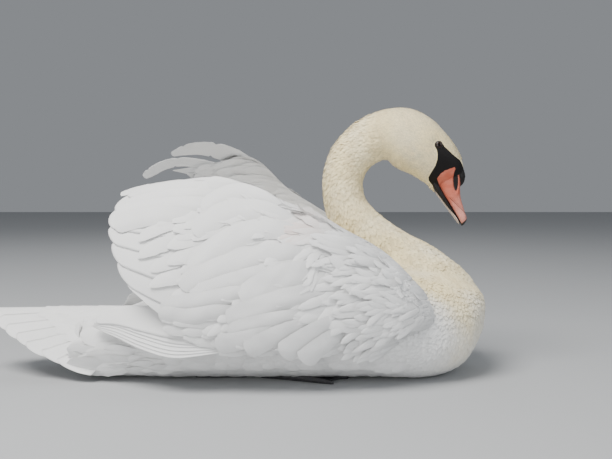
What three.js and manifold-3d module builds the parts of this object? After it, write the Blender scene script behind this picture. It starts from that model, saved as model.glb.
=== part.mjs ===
// A life-size mute swan that sits on level ground with both wings half raised over its back.
// Millimetres. +X is where the breast points, +Y the bird's left, +Z up, and the floor is z = 0.
// The origin is the middle of the flat on which the belly rests.

import * as THREE from "three";
import { mergeVertices } from "three/addons/utils/BufferGeometryUtils.js";
import Module from "manifold-3d";

const wasm = await Module();
wasm.setup();

// ---------------------------------------------------------------- driving sizes

const GAP = 0.3; // air left between neighbouring solids
const ROOM = 0.7; // how far the corners of a thin shape move out to leave that air
const FLOOR_SINK = 9; // how far the belly's round form would reach under the floor before it is cut flat

// Trunk stations from the vent to the breast: [x, back height, belly height, half width].
const TRUNK = [
  [-352, 64, 40, 12],
  [-336, 82, 8, 58],
  [-290, 98, -6, 98],
  [-212, 128, -FLOOR_SINK, 132],
  [-110, 186, -FLOOR_SINK, 157],
  [0, 216, -FLOOR_SINK, 168],
  [110, 200, -FLOOR_SINK, 163],
  [205, 172, -FLOOR_SINK, 138],
  [266, 152, 10, 102],
  [299, 130, 56, 56],
  [308, 108, 82, 12],
];
const TRUNK_SQUARENESS = 0.82; // 1 is an ellipse, less is a fuller section

// Neck and head stations from the breast to the bill's root: [x, z, half depth, half width].
const NECK = [
  [224, 100, 80, 78],
  [204, 137, 68, 69],
  [167, 169, 55, 58],
  [138.4, 197, 48, 50],
  [117.5, 219.3, 43, 45],
  [101, 240.6, 39, 41],
  [88, 268, 35.4, 37.5],
  [84.4, 302, 34.4, 35],
  [92, 331, 35.6, 34],
  [105, 350, 36.6, 33.5],
  [125, 366, 38.5, 33],
  [151.5, 375.7, 41.6, 33.5],
  [178, 373.2, 47.6, 34.5],
  [201, 360.5, 48, 35.5],
  [217.5, 348.5, 44, 35],
  [230.5, 336.5, 41, 33],
  [241, 324.5, 37.5, 29],
  [247.5, 315, 33.8, 25],
  [253, 304.6, 28, 19],
];
// The neck is parted at these shares of its length.
const NECK_CUTS = { lower: 0.13, middle: 0.34, upper: 0.6 };

// The bill's own frame: from the corner of the mouth, along the cutting edge, and square to it.
const MOUTH_CORNER = { x: 232.3, z: 311 };
const BILL_PITCH = THREE.MathUtils.degToRad(-61.3);
// Upper bill stations: [along, ridge height, cutting edge height, half width].
const UPPER_BILL = [
  [3, 37, -1, 18.5],
  [14, 35, -1.5, 18.5],
  [26, 30, -1.5, 17.5],
  [38, 23, -1.5, 16.5],
  [50, 18, -1.5, 15.5],
  [66, 14.5, -1.5, 15],
  [78, 12, -1.5, 14.6],
  [86, 8.5, -1.8, 11.5],
  [90, 2.5, -1.4, 5],
];
const LOWER_BILL = [
  [5, -2.2, -12, 15],
  [22, -2.2, -12, 14.5],
  [45, -2.2, -9.5, 13.5],
  [66, -2.2, -7.5, 12.5],
  [80, -2.2, -5.5, 10],
  [85, -2.6, -4.4, 5],
];
const NAIL_START = 78; // along the bill
const KNOB = { along: 17, height: 34, length: 17, depth: 12.5, halfWidth: 12 };
const EYE = { x: 232.4, z: 359, radius: 6.4, sunk: 3.6 };

// A raised wing lies on a dome: half the bird's width there, its length and its height.
// Its edges are given in side view, [x, z]: the leading edge, the lower and upper edges, and the feather
// tips along the rear with how far each notch between two of them runs in.
const WINGS = {
  right: {
    side: -1,
    dome: { x: -30, z: 128, width: 196, length: 400, height: 218 },
    front: [[182, 72], [212, 100], [201, 136], [166, 176], [130, 206], [84, 231], [40, 258]],
    bottom: [[182, 72], [100, 66], [0, 68], [-80, 76], [-160, 104], [-214, 143]],
    top: [[40, 258], [-6, 273], [-38, 290], [-76, 303], [-117, 309], [-165, 304], [-222, 295]],
    rear: [[-214, 143], [-238, 162], [-251, 190], [-258, 216], [-265, 237], [-262, 260], [-246, 281], [-222, 295]],
    notch: 0.034,
    part: 0.74,
    partRise: 0.14,
  },
  left: {
    side: 1,
    dome: { x: -30, z: 146, width: 196, length: 400, height: 256 },
    front: [[182, 72], [212, 100], [201, 136], [166, 176], [130, 206], [84, 231], [40, 258]],
    bottom: [[182, 72], [100, 66], [0, 68], [-80, 76], [-160, 104], [-214, 143]],
    top: [[40, 258], [-8, 289], [-50, 331], [-82, 346], [-110, 337], [-138, 331], [-170, 327], [-207, 321]],
    rear: [
      [-214, 143], [-240, 166], [-254, 196], [-262, 225], [-262, 252],
      [-246, 277], [-214, 294], [-176, 304], [-184, 315], [-207, 321],
    ],
    notch: 0.038,
    part: 0.74,
    partRise: 0.4,
  },
};
const COVERT_DEPTH = { low: 78, high: 11 }; // how deep the arm with its coverts is at its lower and upper edge
const VANE_THICKNESS = 3.2;

// Single long feathers inside the fan whose tips stand clear: centre line [x, z, half width] in side view.
const TERTIALS = {
  wing_left_tertial_upper: {
    wing: "left",
    line: [[-60, 318, 14], [-92, 339, 16], [-122, 353, 13.5], [-152, 357.5, 10.5], [-178, 354.5, 8], [-201, 347.5, 3.5]],
  },
  wing_left_tertial_lower: {
    wing: "left",
    line: [[-100, 316, 8], [-145, 330, 8], [-185, 335.5, 7.6], [-215, 330, 7.4], [-240, 317, 7], [-251, 309.5, 4]],
  },
  wing_right_tertial: {
    wing: "right",
    line: [[-110, 296, 8], [-160, 296, 7], [-200, 294, 6.5], [-226, 290, 5.4], [-244, 286, 4.4], [-254, 283, 2.8]],
  },
};

// The folded outer wing, whose stacked feathers point back over the tail: [x, y, z, half height, half thickness].
const PRIMARIES = [
  [-70, 170, 78, 8, 2.5],
  [-115, 172, 82, 24, 5],
  [-165, 166, 86, 35, 6.5],
  [-212, 150, 92, 33, 5.5],
  [-250, 131, 96, 25, 4.5],
  [-277, 117, 94, 15, 3.4],
  [-292, 109, 92, 6, 2],
];

// The tail: its feathers fan from the rump and hang like a roof on both sides of the middle pair.
const TAIL = {
  feathers: 7, // on each side of the middle pair
  rootX: -236,
  rootHalfWidth: 50,
  rootZ: 104,
  rootDrop: 34,
  tipX: -482,
  tipForward: 188,
  tipHalfWidth: 112,
  tipZ: 103,
  tipDrop: 96,
  notch: 0.055,
  thickness: 4.5,
};

// Legs: the shanks lie flat under the flanks and the webbed feet point forward.
const FOOT = { x: -40, y: 60, toeSpread: 19, toes: [104, 122, 108], toeRadius: 5.2, webThickness: 3.4 };
const SHANK = { length: 104, radius: 8.5 };
const FOOT_POCKET = { clearance: 5, height: 20 };

const COLOURS = {
  plumage: { color: 0xf4f3ef, roughness: 0.85, metalness: 0 },
  neckPlumage: { color: 0xeee6d2, roughness: 0.88, metalness: 0 },
  bill: { color: 0xd9694a, roughness: 0.45, metalness: 0 },
  blackSkin: { color: 0x141312, roughness: 0.5, metalness: 0 },
  eye: { color: 0x150d08, roughness: 0.08, metalness: 0 },
};

// ---------------------------------------------------------------- curves

// A smooth curve through evenly spaced knots of any number of channels, at t from 0 to 1.
function spline(knots, t) {
  const span = (knots.length - 1) * Math.min(Math.max(t, 0), 1);
  const i = Math.min(Math.floor(span), knots.length - 2);
  const f = span - i;
  const knot = (j) => knots[Math.min(Math.max(j, 0), knots.length - 1)];
  return knots[0].map((_, c) => {
    const [a, b, d, e] = [knot(i - 1)[c], knot(i)[c], knot(i + 1)[c], knot(i + 2)[c]];
    return b + 0.5 * f * (d - a + f * (2 * a - 5 * b + 4 * d - e + f * (3 * (b - d) + e - a)));
  });
}

// Half the distance between the wings' outer faces at a place in side view.
function domeHalfWidth(dome, x, z) {
  const left = 1 - ((x - dome.x) / dome.length) ** 2 - ((z - dome.z) / dome.height) ** 2;
  return dome.width * Math.sqrt(Math.max(left, 0.02));
}

// ---------------------------------------------------------------- meshes

// An indexed geometry from points [x, y, z] and triangles of point numbers.
function indexed(points, faces) {
  const geometry = new THREE.BufferGeometry();
  geometry.setAttribute("position", new THREE.Float32BufferAttribute(points.flat(), 3));
  geometry.setIndex(faces);
  return geometry;
}

// The sides between rings of points that all run the same way round.
function ringSides(rings) {
  const count = rings[0].length;
  const faces = [];
  for (let i = 0; i + 1 < rings.length; i++) {
    for (let j = 0; j < count; j++) {
      const next = (j + 1) % count;
      const [a, b, c, d] = [i * count + j, i * count + next, (i + 1) * count + next, (i + 1) * count + j];
      faces.push(a, b, c, a, c, d);
    }
  }
  return faces;
}

// A closed round form through rings, each end a fan to its middle.
function skinRings(rings) {
  const [count, last] = [rings[0].length, (rings.length - 1) * rings[0].length];
  const middle = (ring) => [0, 1, 2].map((c) => ring.reduce((sum, p) => sum + p[c], 0) / count);
  const points = [...rings.flat(), middle(rings[0]), middle(rings[rings.length - 1])];
  const faces = ringSides(rings);
  for (let j = 0; j < count; j++) {
    const next = (j + 1) % count;
    faces.push(points.length - 2, next, j, points.length - 1, last + j, last + next);
  }
  return indexed(points, faces);
}

// A plate between an outer and an inner face, both sampled at the same columns u and rows v.
function skinPlate(columns, rows, outer, inner) {
  const back = [...rows].reverse();
  const rings = columns.map((u) => [...rows.map((v) => outer(u, v)), ...back.map((v) => inner(u, v))]);
  const faces = ringSides(rings);
  const [count, last] = [2 * rows.length, (columns.length - 1) * 2 * rows.length];
  for (let j = 0; j + 1 < rows.length; j++) {
    const [a, b, c, d] = [j, j + 1, count - 2 - j, count - 1 - j];
    faces.push(a, c, b, a, d, c, last + a, last + b, last + c, last + a, last + c, last + d);
  }
  return indexed(rings.flat(), faces);
}

// A three.js geometry as a solid, turned right side out.
function solidFrom(geometry) {
  const bare = geometry.clone();
  bare.deleteAttribute("normal");
  bare.deleteAttribute("uv");
  const merged = mergeVertices(bare, 1e-4);
  const vertProperties = new Float32Array(merged.attributes.position.array);
  const triVerts = new Uint32Array(merged.index.array);
  const made = new wasm.Manifold(new wasm.Mesh({ numProp: 3, vertProperties, triVerts }));
  if (made.volume() > 0) return made;
  for (let i = 0; i < triVerts.length; i += 3)
    [triVerts[i + 1], triVerts[i + 2]] = [triVerts[i + 2], triVerts[i + 1]];
  return new wasm.Manifold(new wasm.Mesh({ numProp: 3, vertProperties, triVerts }));
}

function geometryFrom(solid) {
  const mesh = solid.getMesh();
  const geometry = new THREE.BufferGeometry();
  geometry.setAttribute("position", new THREE.BufferAttribute(mesh.vertProperties, 3));
  geometry.setIndex(new THREE.BufferAttribute(mesh.triVerts, 1));
  return geometry;
}

// The space a shape takes up with air around it, to be cut from its neighbours: each corner moves out
// along the mean of the faces that meet there.
function roomFor(shape) {
  const geometry = mergeVertices(shape, 1e-4);
  const { index, attributes } = geometry;
  const { position } = attributes;
  const corner = (i) => new THREE.Vector3().fromBufferAttribute(position, index.getX(i));
  const outward = Array.from({ length: position.count }, () => new THREE.Vector3());
  let volume = 0;
  for (let i = 0; i < index.count; i += 3) {
    const [a, b, c] = [corner(i), corner(i + 1), corner(i + 2)];
    volume += a.dot(b.clone().cross(c));
    const normal = b.sub(a).cross(c.sub(a)).normalize();
    for (let j = i; j < i + 3; j++) outward[index.getX(j)].add(normal);
  }
  const reach = Math.sign(volume) * ROOM;
  outward.forEach((direction, i) => {
    direction.normalize().multiplyScalar(reach);
    position.setXYZ(
      i,
      position.getX(i) + direction.x,
      position.getY(i) + direction.y,
      position.getZ(i) + direction.z,
    );
  });
  return solidFrom(geometry).add(solidFrom(shape));
}

// The largest single body of a solid, for where a cut leaves a loose sliver.
function largestBody(solid) {
  return solid.decompose().reduce((a, b) => (a.volume() > b.volume() ? a : b));
}

function boxSolid(low, high) {
  const size = high.map((value, c) => value - low[c]);
  const geometry = new THREE.BoxGeometry(...size);
  return solidFrom(geometry.translate(...low.map((value, c) => value + size[c] / 2)));
}

const underFloor = boxSolid([-700, -400, -200], [700, 400, 0]);

// ---------------------------------------------------------------- trunk

function trunkSolid(grow = 0) {
  const [steps, around] = [23, 24];
  const rings = [];
  for (let i = 0; i <= steps; i++) {
    const [x, top, bottom, half] = spline(TRUNK, i / steps);
    const [middle, height] = [(top + bottom) / 2, (top - bottom) / 2 + grow];
    const stretch = i === 0 ? -grow : i === steps ? grow : 0;
    const ring = [];
    for (let j = 0; j < around; j++) {
      const angle = (2 * Math.PI * j) / around;
      const power = (value) => Math.sign(value) * Math.abs(value) ** TRUNK_SQUARENESS;
      ring.push([
        x + stretch,
        (half + grow) * power(Math.cos(angle)),
        middle + height * power(Math.sin(angle)),
      ]);
    }
    rings.push(ring);
  }
  return solidFrom(skinRings(rings));
}

// ---------------------------------------------------------------- neck and head

// The neck's cross-section ring at share t, wider by grow.
function neckRing(t, around, grow) {
  const [x, z, depth, width] = spline(NECK, t);
  const [ax, az] = spline(NECK, t - 0.004);
  const [bx, bz] = spline(NECK, t + 0.004);
  const length = Math.hypot(bx - ax, bz - az);
  const [nx, nz] = [-(bz - az) / length, (bx - ax) / length];
  return Array.from({ length: around }, (_, j) => {
    const angle = (2 * Math.PI * j) / around;
    const out = (depth + grow) * Math.sin(angle);
    return [x + nx * out, (width + grow) * Math.cos(angle), z + nz * out];
  });
}

function neckLength(from, to, steps, grow = 0) {
  const around = 20;
  const rings = [];
  for (let i = 0; i <= steps; i++) rings.push(neckRing(from + ((to - from) * i) / steps, around, grow));
  return solidFrom(skinRings(rings));
}

// ---------------------------------------------------------------- bill, knob and eyes

// A point given in the bill's own frame.
function billPoint(along, aside, height) {
  const [c, s] = [Math.cos(BILL_PITCH), Math.sin(BILL_PITCH)];
  return [MOUTH_CORNER.x + along * c - height * s, aside, MOUTH_CORNER.z + along * s + height * c];
}

// A bill half from its stations: a flat cutting edge and a round back, or the other way up.
function billSolid(stations, grow = 0) {
  const [steps, around] = [9, 12];
  const rings = [];
  for (let i = 0; i <= steps; i++) {
    const [along, ridge, edge, half] = spline(stations, i / steps);
    const stretch = i === 0 ? -grow : i === steps ? grow : 0;
    const [middle, height] = [(ridge + edge) / 2, Math.abs(ridge - edge) / 2 + grow];
    const ring = [];
    for (let j = 0; j < around; j++) {
      const angle = (2 * Math.PI * (j + 0.5)) / around;
      const power = (value, e) => Math.sign(value) * Math.abs(value) ** e;
      const aside = (half + grow) * power(Math.cos(angle), 0.75);
      ring.push(billPoint(along + stretch, aside, middle + height * power(Math.sin(angle), 0.8)));
    }
    rings.push(ring);
  }
  return solidFrom(skinRings(rings));
}

function knobSolid(grow = 0) {
  const ball = new THREE.SphereGeometry(1, 12, 8);
  ball.scale(KNOB.length + grow, KNOB.halfWidth + grow, KNOB.depth + grow);
  ball.rotateY(THREE.MathUtils.degToRad(26)); // its long axis follows the sloping ridge
  ball.translate(KNOB.along, 0, KNOB.height);
  ball.rotateY(-BILL_PITCH);
  ball.translate(MOUTH_CORNER.x, 0, MOUTH_CORNER.z);
  return solidFrom(ball);
}

// The end of the bill from where its nail begins.
function nailRoom(grow) {
  const block = new THREE.BoxGeometry(60, 60, 60);
  block.translate(NAIL_START + 30 - grow, 0, 10);
  block.rotateY(-BILL_PITCH);
  return solidFrom(block.translate(MOUTH_CORNER.x, 0, MOUTH_CORNER.z));
}

// Half the head's width at a place in side view, found on the neck's sections.
function headHalfWidth(x, z) {
  let best = { distance: Infinity, width: 0 };
  for (let t = 0.6; t <= 1; t += 0.002) {
    const [sx, sz, depth, width] = spline(NECK, t);
    const distance = Math.hypot(x - sx, z - sz);
    if (distance < best.distance) {
      const share = Math.min(distance / depth, 1);
      best = { distance, width: width * Math.sqrt(1 - share * share) };
    }
  }
  return best.width;
}

function eyeSolid(side, grow = 0) {
  const out = headHalfWidth(EYE.x, EYE.z) - EYE.sunk;
  const ball = new THREE.SphereGeometry(EYE.radius + grow, 12, 7);
  return solidFrom(ball.translate(EYE.x, side * out, EYE.z));
}

// ---------------------------------------------------------------- wings

// A place on the wing in side view: u runs from the leading edge to the tips, v from bottom to top.
function wingPlace(wing, u, v) {
  const [front, rear] = [spline(wing.front, v), spline(wing.rear, v)];
  const [bottom, top] = [spline(wing.bottom, u), spline(wing.top, u)];
  const [low, high] = [wing.front[0], wing.front[wing.front.length - 1]];
  const [lowTip, highTip] = [wing.rear[0], wing.rear[wing.rear.length - 1]];
  return [0, 1].map((c) => {
    const corners =
      (1 - u) * (1 - v) * low[c] + (1 - u) * v * high[c] + u * (1 - v) * lowTip[c] + u * v * highTip[c];
    return (1 - u) * front[c] + u * rear[c] + (1 - v) * bottom[c] + v * top[c] - corners;
  });
}

// The wing's face at depth mm inside its dome. Its leading and lower edges turn in towards the flank.
function wingPoint(wing, u, v, depth) {
  const [x, z] = wingPlace(wing, u, v);
  const turnIn = 16 * Math.max(0, 1 - u / 0.12) ** 2 + 20 * Math.max(0, 1 - v / 0.16) ** 2 * (1 - u);
  return [x, wing.side * (domeHalfWidth(wing.dome, x, z) - depth - Math.min(turnIn, 24)), z];
}

// Along a row of feathers each has its own stretch of v, and these are the places sampled in it.
const TIP_PLACES = [0, 0.2, 0.54, 0.84];

function tipRows(count) {
  const rows = [];
  for (let i = 0; i < count; i++) rows.push(...TIP_PLACES.map((place) => (i + place) / count));
  return [...rows, 1];
}

// How far short of its tip a feather's round end falls at v, from 0 at the tip to 1 in the notch.
function tipFall(count, v) {
  const place = (v * count) % 1;
  return v <= 0 || v >= 1 ? 1 : Math.abs(2 * place - 1.08) ** 2.2;
}

// Where the arm's coverts end and the long feathers begin, as a share of the wing's length at height v.
function partLine(wing, v) {
  return wing.part - wing.partRise * v ** 3;
}

// The arm with its coverts: thick below, where it lies on the flank, and thin above.
function covertShape(wing) {
  const { low, high } = COVERT_DEPTH;
  const thickness = (u, v) => {
    const deep = (1 - 0.55 * u) * low * (1 - v) ** 0.8 + high * (1 - u);
    const rim = Math.sqrt(Math.sin(Math.PI * Math.min(Math.max(v, 0.06), 0.94))) * Math.min(1, 0.3 + 5 * u);
    return VANE_THICKNESS + deep * (0.3 + 0.7 * rim);
  };
  const reach = (u, v) => u * partLine(wing, v);
  const columns = [0, 0.04, 0.1, 0.2, 0.3, 0.4, 0.5, 0.6, 0.7, 0.8, 0.9, 1];
  const rows = [0, 0.05, 0.12, 0.22, 0.34, 0.46, 0.58, 0.7, 0.82, 0.92, 1];
  return skinPlate(
    columns,
    rows,
    (u, v) => wingPoint(wing, reach(u, v), v, 0),
    (u, v) => wingPoint(wing, reach(u, v), v, thickness(u, v)),
  );
}

// The fan of long feathers behind the coverts, one solid with each tip in its outline.
function fanShape(wing) {
  const count = wing.rear.length - 1;
  const reach = (u, v) => {
    const from = partLine(wing, v) - 0.01;
    return from + (1 - wing.notch * tipFall(count, v) - from) * u;
  };
  // Each feather's upper edge lies a little under its neighbour.
  const overlap = (v) => 1.3 * ((v * count) % 1) * (v < 1 ? 1 : 0);
  return skinPlate(
    [0, 0.45, 0.82, 1],
    tipRows(count),
    (u, v) => wingPoint(wing, reach(u, v), v, overlap(v)),
    (u, v) => wingPoint(wing, reach(u, v), v, VANE_THICKNESS * (1 - 0.25 * u)),
  );
}

// One long feather just inside the fan.
function tertialSolid({ wing: name, line }) {
  const wing = WINGS[name];
  const [outer, inner] = [VANE_THICKNESS, VANE_THICKNESS + 3.6];
  const face = (depth) => (u, v) => {
    const [x, z, half] = spline(line, u);
    const [[ax, az], [bx, bz]] = [spline(line, u - 0.02), spline(line, u + 0.02)];
    const length = Math.hypot(bx - ax, bz - az);
    const out = half * (2 * v - 1);
    const [px, pz] = [x - ((bz - az) / length) * out, z + ((bx - ax) / length) * out];
    return [px, wing.side * (domeHalfWidth(wing.dome, px, pz) - depth), pz];
  };
  const columns = Array.from({ length: 11 }, (_, i) => i / 10);
  const blade = solidFrom(skinPlate(columns, [0, 0.5, 1], face(outer), face(inner)));
  return blade.subtract(roomFor(covertShape(wing))).subtract(roomFor(fanShape(wing)));
}

function primarySolid(side) {
  const [steps, around] = [11, 10];
  const rings = [];
  for (let i = 0; i <= steps; i++) {
    const [x, y, z, height, thickness] = spline(PRIMARIES, i / steps);
    const ring = [];
    for (let j = 0; j < around; j++) {
      const angle = (2 * Math.PI * j) / around;
      const rise = height * Math.sin(angle);
      const lean = -0.45 * rise; // the stack leans in towards the rump at its top
      ring.push([x, side * (y + thickness * Math.cos(angle) + lean), z + rise]);
    }
    rings.push(ring);
  }
  return solidFrom(skinRings(rings));
}

// ---------------------------------------------------------------- tail

// A point on the tail's upper face: s from root to tip, across from -1 at the right edge to 1 at the left.
function tailPoint(s, across, depth) {
  const out = Math.abs(across);
  const root = [TAIL.rootX, TAIL.rootHalfWidth * across, TAIL.rootZ - TAIL.rootDrop * out ** 1.5];
  const tip = [
    TAIL.tipX + TAIL.tipForward * out ** 1.7,
    TAIL.tipHalfWidth * Math.sign(across) * out ** 0.85,
    TAIL.tipZ - TAIL.tipDrop * out ** 0.9,
  ];
  const fall = tipFall(2 * TAIL.feathers, (across + 1) / 2);
  const share = s * (1 - TAIL.notch * fall * s);
  return root.map((value, c) => value + (tip[c] - value) * share - (c === 2 ? depth : 0));
}

function tailSolid() {
  const thickness = (s) => TAIL.thickness * (1 - 0.45 * s);
  return solidFrom(
    skinPlate(
      [0, 0.55, 1],
      tipRows(2 * TAIL.feathers),
      (s, v) => tailPoint(s, 2 * v - 1, 0),
      (s, v) => tailPoint(s, 2 * v - 1, thickness(s)),
    ),
  );
}

// ---------------------------------------------------------------- legs

// A limb of round section through points [x, y, z, radius].
function limb(points, steps = 6, around = 10) {
  const centres = Array.from({ length: steps + 1 }, (_, i) => spline(points, i / steps));
  const rings = centres.map(([x, y, z, radius], i) => {
    const [a, b] = [centres[Math.max(i - 1, 0)], centres[Math.min(i + 1, steps)]];
    const along = new THREE.Vector3(b[0] - a[0], b[1] - a[1], b[2] - a[2]).normalize();
    const aside = new THREE.Vector3().crossVectors(new THREE.Vector3(0, 0, 1), along).normalize();
    const up = new THREE.Vector3().crossVectors(along, aside);
    return Array.from({ length: around }, (_, j) => {
      const angle = (2 * Math.PI * j) / around;
      const offset = aside.clone().multiplyScalar(radius * Math.cos(angle));
      offset.addScaledVector(up, radius * Math.sin(angle));
      return [x + offset.x, y + offset.y, z + offset.z];
    });
  });
  return solidFrom(skinRings(rings));
}

function toeTip(side, index) {
  const angle = THREE.MathUtils.degToRad((index - 1) * FOOT.toeSpread + 6);
  return [FOOT.x + FOOT.toes[index] * Math.cos(angle), side * (FOOT.y + FOOT.toes[index] * Math.sin(angle))];
}

// A webbed foot, flat on the floor: three toes with their claws, the web between them and the small hind toe.
function footSolid(side) {
  const r = FOOT.toeRadius;
  const tips = FOOT.toes.map((_, index) => toeTip(side, index));
  const web = new THREE.Shape();
  web.moveTo(FOOT.x - 4, side * FOOT.y);
  web.lineTo(...tips[0]);
  for (let i = 0; i < 2; i++) {
    const middle = [0, 1].map((c) => (tips[i][c] + tips[i + 1][c]) / 2);
    web.quadraticCurveTo(middle[0] - 16, middle[1], ...tips[i + 1]);
  }
  web.closePath();
  const sheet = new THREE.ExtrudeGeometry(web, { depth: FOOT.webThickness, bevelEnabled: false, curveSegments: 3 });
  let foot = solidFrom(sheet);
  for (const [tx, ty] of tips) {
    const toe = [
      [FOOT.x - 2, side * FOOT.y, r + 0.5, r + 1.5],
      [(FOOT.x + tx) / 2, (side * FOOT.y + ty) / 2, r - 0.2, r],
      [tx, ty, r - 1.6, r - 1.4],
      [tx + 9, ty + (side * (ty * side - FOOT.y)) / 14, 1.6, 0.9],
    ];
    foot = foot.add(limb(toe, 4, 6));
  }
  const hindToe = [[FOOT.x, side * (FOOT.y - 4), 6, 4.2], [FOOT.x - 14, side * (FOOT.y - 16), 4, 3], [FOOT.x - 22, side * (FOOT.y - 24), 2, 1]];
  return foot.add(limb(hindToe, 3, 6)).subtract(underFloor);
}

function shankSolid(side) {
  const heel = FOOT.x - SHANK.length;
  const r = SHANK.radius;
  const leg = [
    [FOOT.x + 4, side * FOOT.y, r - 1, r - 0.6],
    [(FOOT.x + heel) / 2, side * (FOOT.y - 2), r - 1.4, r - 1.6],
    [heel, side * (FOOT.y - 4), r, r + 1.6],
  ];
  return limb(leg, 5, 10).subtract(underFloor);
}

// The foot's own space, at which the shank ends.
function footRoom(side) {
  return boxSolid([FOOT.x - 26, side * FOOT.y - 60, -5], [FOOT.x + 40, side * FOOT.y + 60, 40]);
}

// The hollow in the belly plumage in which one shank and foot lie.
function pocketSolid(side) {
  const [c, top] = [FOOT_POCKET.clearance, FOOT_POCKET.height];
  const tips = FOOT.toes.map((_, index) => toeTip(side, index));
  const heel = FOOT.x - SHANK.length;
  const outline = [
    [heel - 12 - c, side * (FOOT.y - 16 - c)],
    [FOOT.x - 20, side * (FOOT.y - 30 - c)],
    [tips[0][0] + 12, tips[0][1] - side * (c + 5)],
    [tips[1][0] + 12 + c, tips[1][1]],
    [tips[2][0] + 12, tips[2][1] + side * (c + 5)],
    [FOOT.x - 10, side * (FOOT.y + 14 + c)],
    [heel - 12 - c, side * (FOOT.y + 10 + c)],
  ];
  const shape = new THREE.Shape(outline.map(([x, y]) => new THREE.Vector2(x, y)));
  const block = new THREE.ExtrudeGeometry(shape, { depth: top + 40, bevelEnabled: false });
  return solidFrom(block.translate(0, 0, -40));
}

// ---------------------------------------------------------------- assembly

const swan = new THREE.Group();

function addNode(name, solid, finish) {
  const whole = largestBody(solid);
  const mesh = new THREE.Mesh(geometryFrom(whole), new THREE.MeshStandardMaterial(COLOURS[finish]));
  mesh.name = name;
  swan.add(mesh);
}

const grownTrunk = trunkSolid(GAP);
const upperBill = billSolid(UPPER_BILL);
const billRoom = billSolid(UPPER_BILL, GAP).add(billSolid(LOWER_BILL, GAP)).add(knobSolid(GAP));
const neckRoom = neckLength(0, NECK_CUTS.middle, 16, GAP);

let trunk = trunkSolid().subtract(underFloor);
let head = neckLength(NECK_CUTS.upper + 0.0006, 1, 13).subtract(billRoom);

for (const [name, wing] of Object.entries(WINGS)) {
  const { side } = wing;
  trunk = trunk.subtract(pocketSolid(side));
  head = head.subtract(eyeSolid(side, GAP));
  const [coverts, fan] = [covertShape(wing), fanShape(wing)];
  const primaries = primarySolid(side).subtract(grownTrunk).subtract(roomFor(coverts));
  addNode(`wing_${name}_coverts`, solidFrom(coverts).subtract(grownTrunk).subtract(neckRoom), "plumage");
  addNode(`wing_${name}_secondaries`, solidFrom(fan).subtract(roomFor(coverts)), "plumage");
  addNode(`wing_${name}_primaries`, primaries.subtract(roomFor(fan)), "plumage");
  addNode(`leg_${name}`, shankSolid(side).subtract(footRoom(side)), "blackSkin");
  addNode(`foot_${name}`, footSolid(side), "blackSkin");
  addNode(`eye_${name}`, eyeSolid(side), "eye");
}
for (const [name, tertial] of Object.entries(TERTIALS)) addNode(name, tertialSolid(tertial), "plumage");

addNode("trunk", trunk, "plumage");
addNode("tail", tailSolid().subtract(grownTrunk), "plumage");
addNode("neck_lower", neckLength(0, NECK_CUTS.lower, 4).subtract(grownTrunk), "neckPlumage");
const middleNeck = neckLength(NECK_CUTS.lower + 0.0006, NECK_CUTS.middle, 7);
addNode("neck_middle", middleNeck.subtract(grownTrunk), "neckPlumage");
addNode("neck_upper", neckLength(NECK_CUTS.middle + 0.0006, NECK_CUTS.upper, 9), "neckPlumage");
addNode("head", head, "neckPlumage");
addNode("bill_upper", upperBill.subtract(nailRoom(GAP)), "bill");
addNode("bill_nail", upperBill.intersect(nailRoom(0)), "blackSkin");
addNode("bill_lower", billSolid(LOWER_BILL), "blackSkin");
addNode("bill_knob", knobSolid().subtract(billSolid(UPPER_BILL, GAP)), "blackSkin");

export default swan;
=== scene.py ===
import math
import bpy
import numpy as np
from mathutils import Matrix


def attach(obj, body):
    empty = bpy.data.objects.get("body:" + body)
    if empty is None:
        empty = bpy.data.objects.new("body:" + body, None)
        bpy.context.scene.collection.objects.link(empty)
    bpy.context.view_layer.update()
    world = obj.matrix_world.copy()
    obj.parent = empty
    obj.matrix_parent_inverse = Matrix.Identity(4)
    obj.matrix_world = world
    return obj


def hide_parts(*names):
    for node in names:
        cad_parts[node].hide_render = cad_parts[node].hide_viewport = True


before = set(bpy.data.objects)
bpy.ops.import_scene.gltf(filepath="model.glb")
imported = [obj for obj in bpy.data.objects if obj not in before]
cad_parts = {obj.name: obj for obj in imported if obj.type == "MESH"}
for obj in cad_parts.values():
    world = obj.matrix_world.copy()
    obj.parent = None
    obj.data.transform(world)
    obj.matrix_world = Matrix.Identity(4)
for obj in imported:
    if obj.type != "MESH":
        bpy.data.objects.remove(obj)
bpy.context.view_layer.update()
mm = 0.001  # every shape below is worked out in millimetres
fullTurn = 2 * np.pi
patchSize = 0.003  # the share of the unwrap that one vane is long
barbTurn = 6.2832  # how far the sine that draws the barbs turns from one barb to the next


def curve(knots, t):
    # a smooth line through evenly spaced knots (Catmull-Rom), read at shares t of the way
    k = np.asarray(knots, float)
    span = np.clip(t, 0, 1) * (len(k) - 1)
    i = np.minimum(span.astype(int), len(k) - 2)
    f = (span - i)[..., None]
    a, b, c, d = (k[np.clip(i + step, 0, len(k) - 1)] for step in (-1, 0, 1, 2))
    return b + 0.5 * f * (c - a + f * (2 * a - 5 * b + 4 * c - d + f * (3 * (b - c) + d - a)))


def sidePath(line, t, out, step=0.02):
    # the side-view place out mm above a line of [x, z, ...] knots, at shares t of the way
    at, ahead = curve(line, t), curve(line, t + step) - curve(line, t - step)
    length = np.hypot(ahead[..., 0], ahead[..., 1])
    return at[..., 0] - ahead[..., 1] / length * out, at[..., 1] + ahead[..., 0] / length * out


def unit(v):
    return v / np.maximum(np.linalg.norm(v, axis=-1, keepdims=True), 1e-9)


def towards(field, normal):
    # a direction laid into the surface
    return unit(field - normal * np.einsum("ij,ij->i", field, normal)[:, None])


def slope(surface, p, q, step=1e-3):
    # how a surface runs along its first parameter, by differences
    return surface(p + step, q) - surface(p - step, q)


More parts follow.
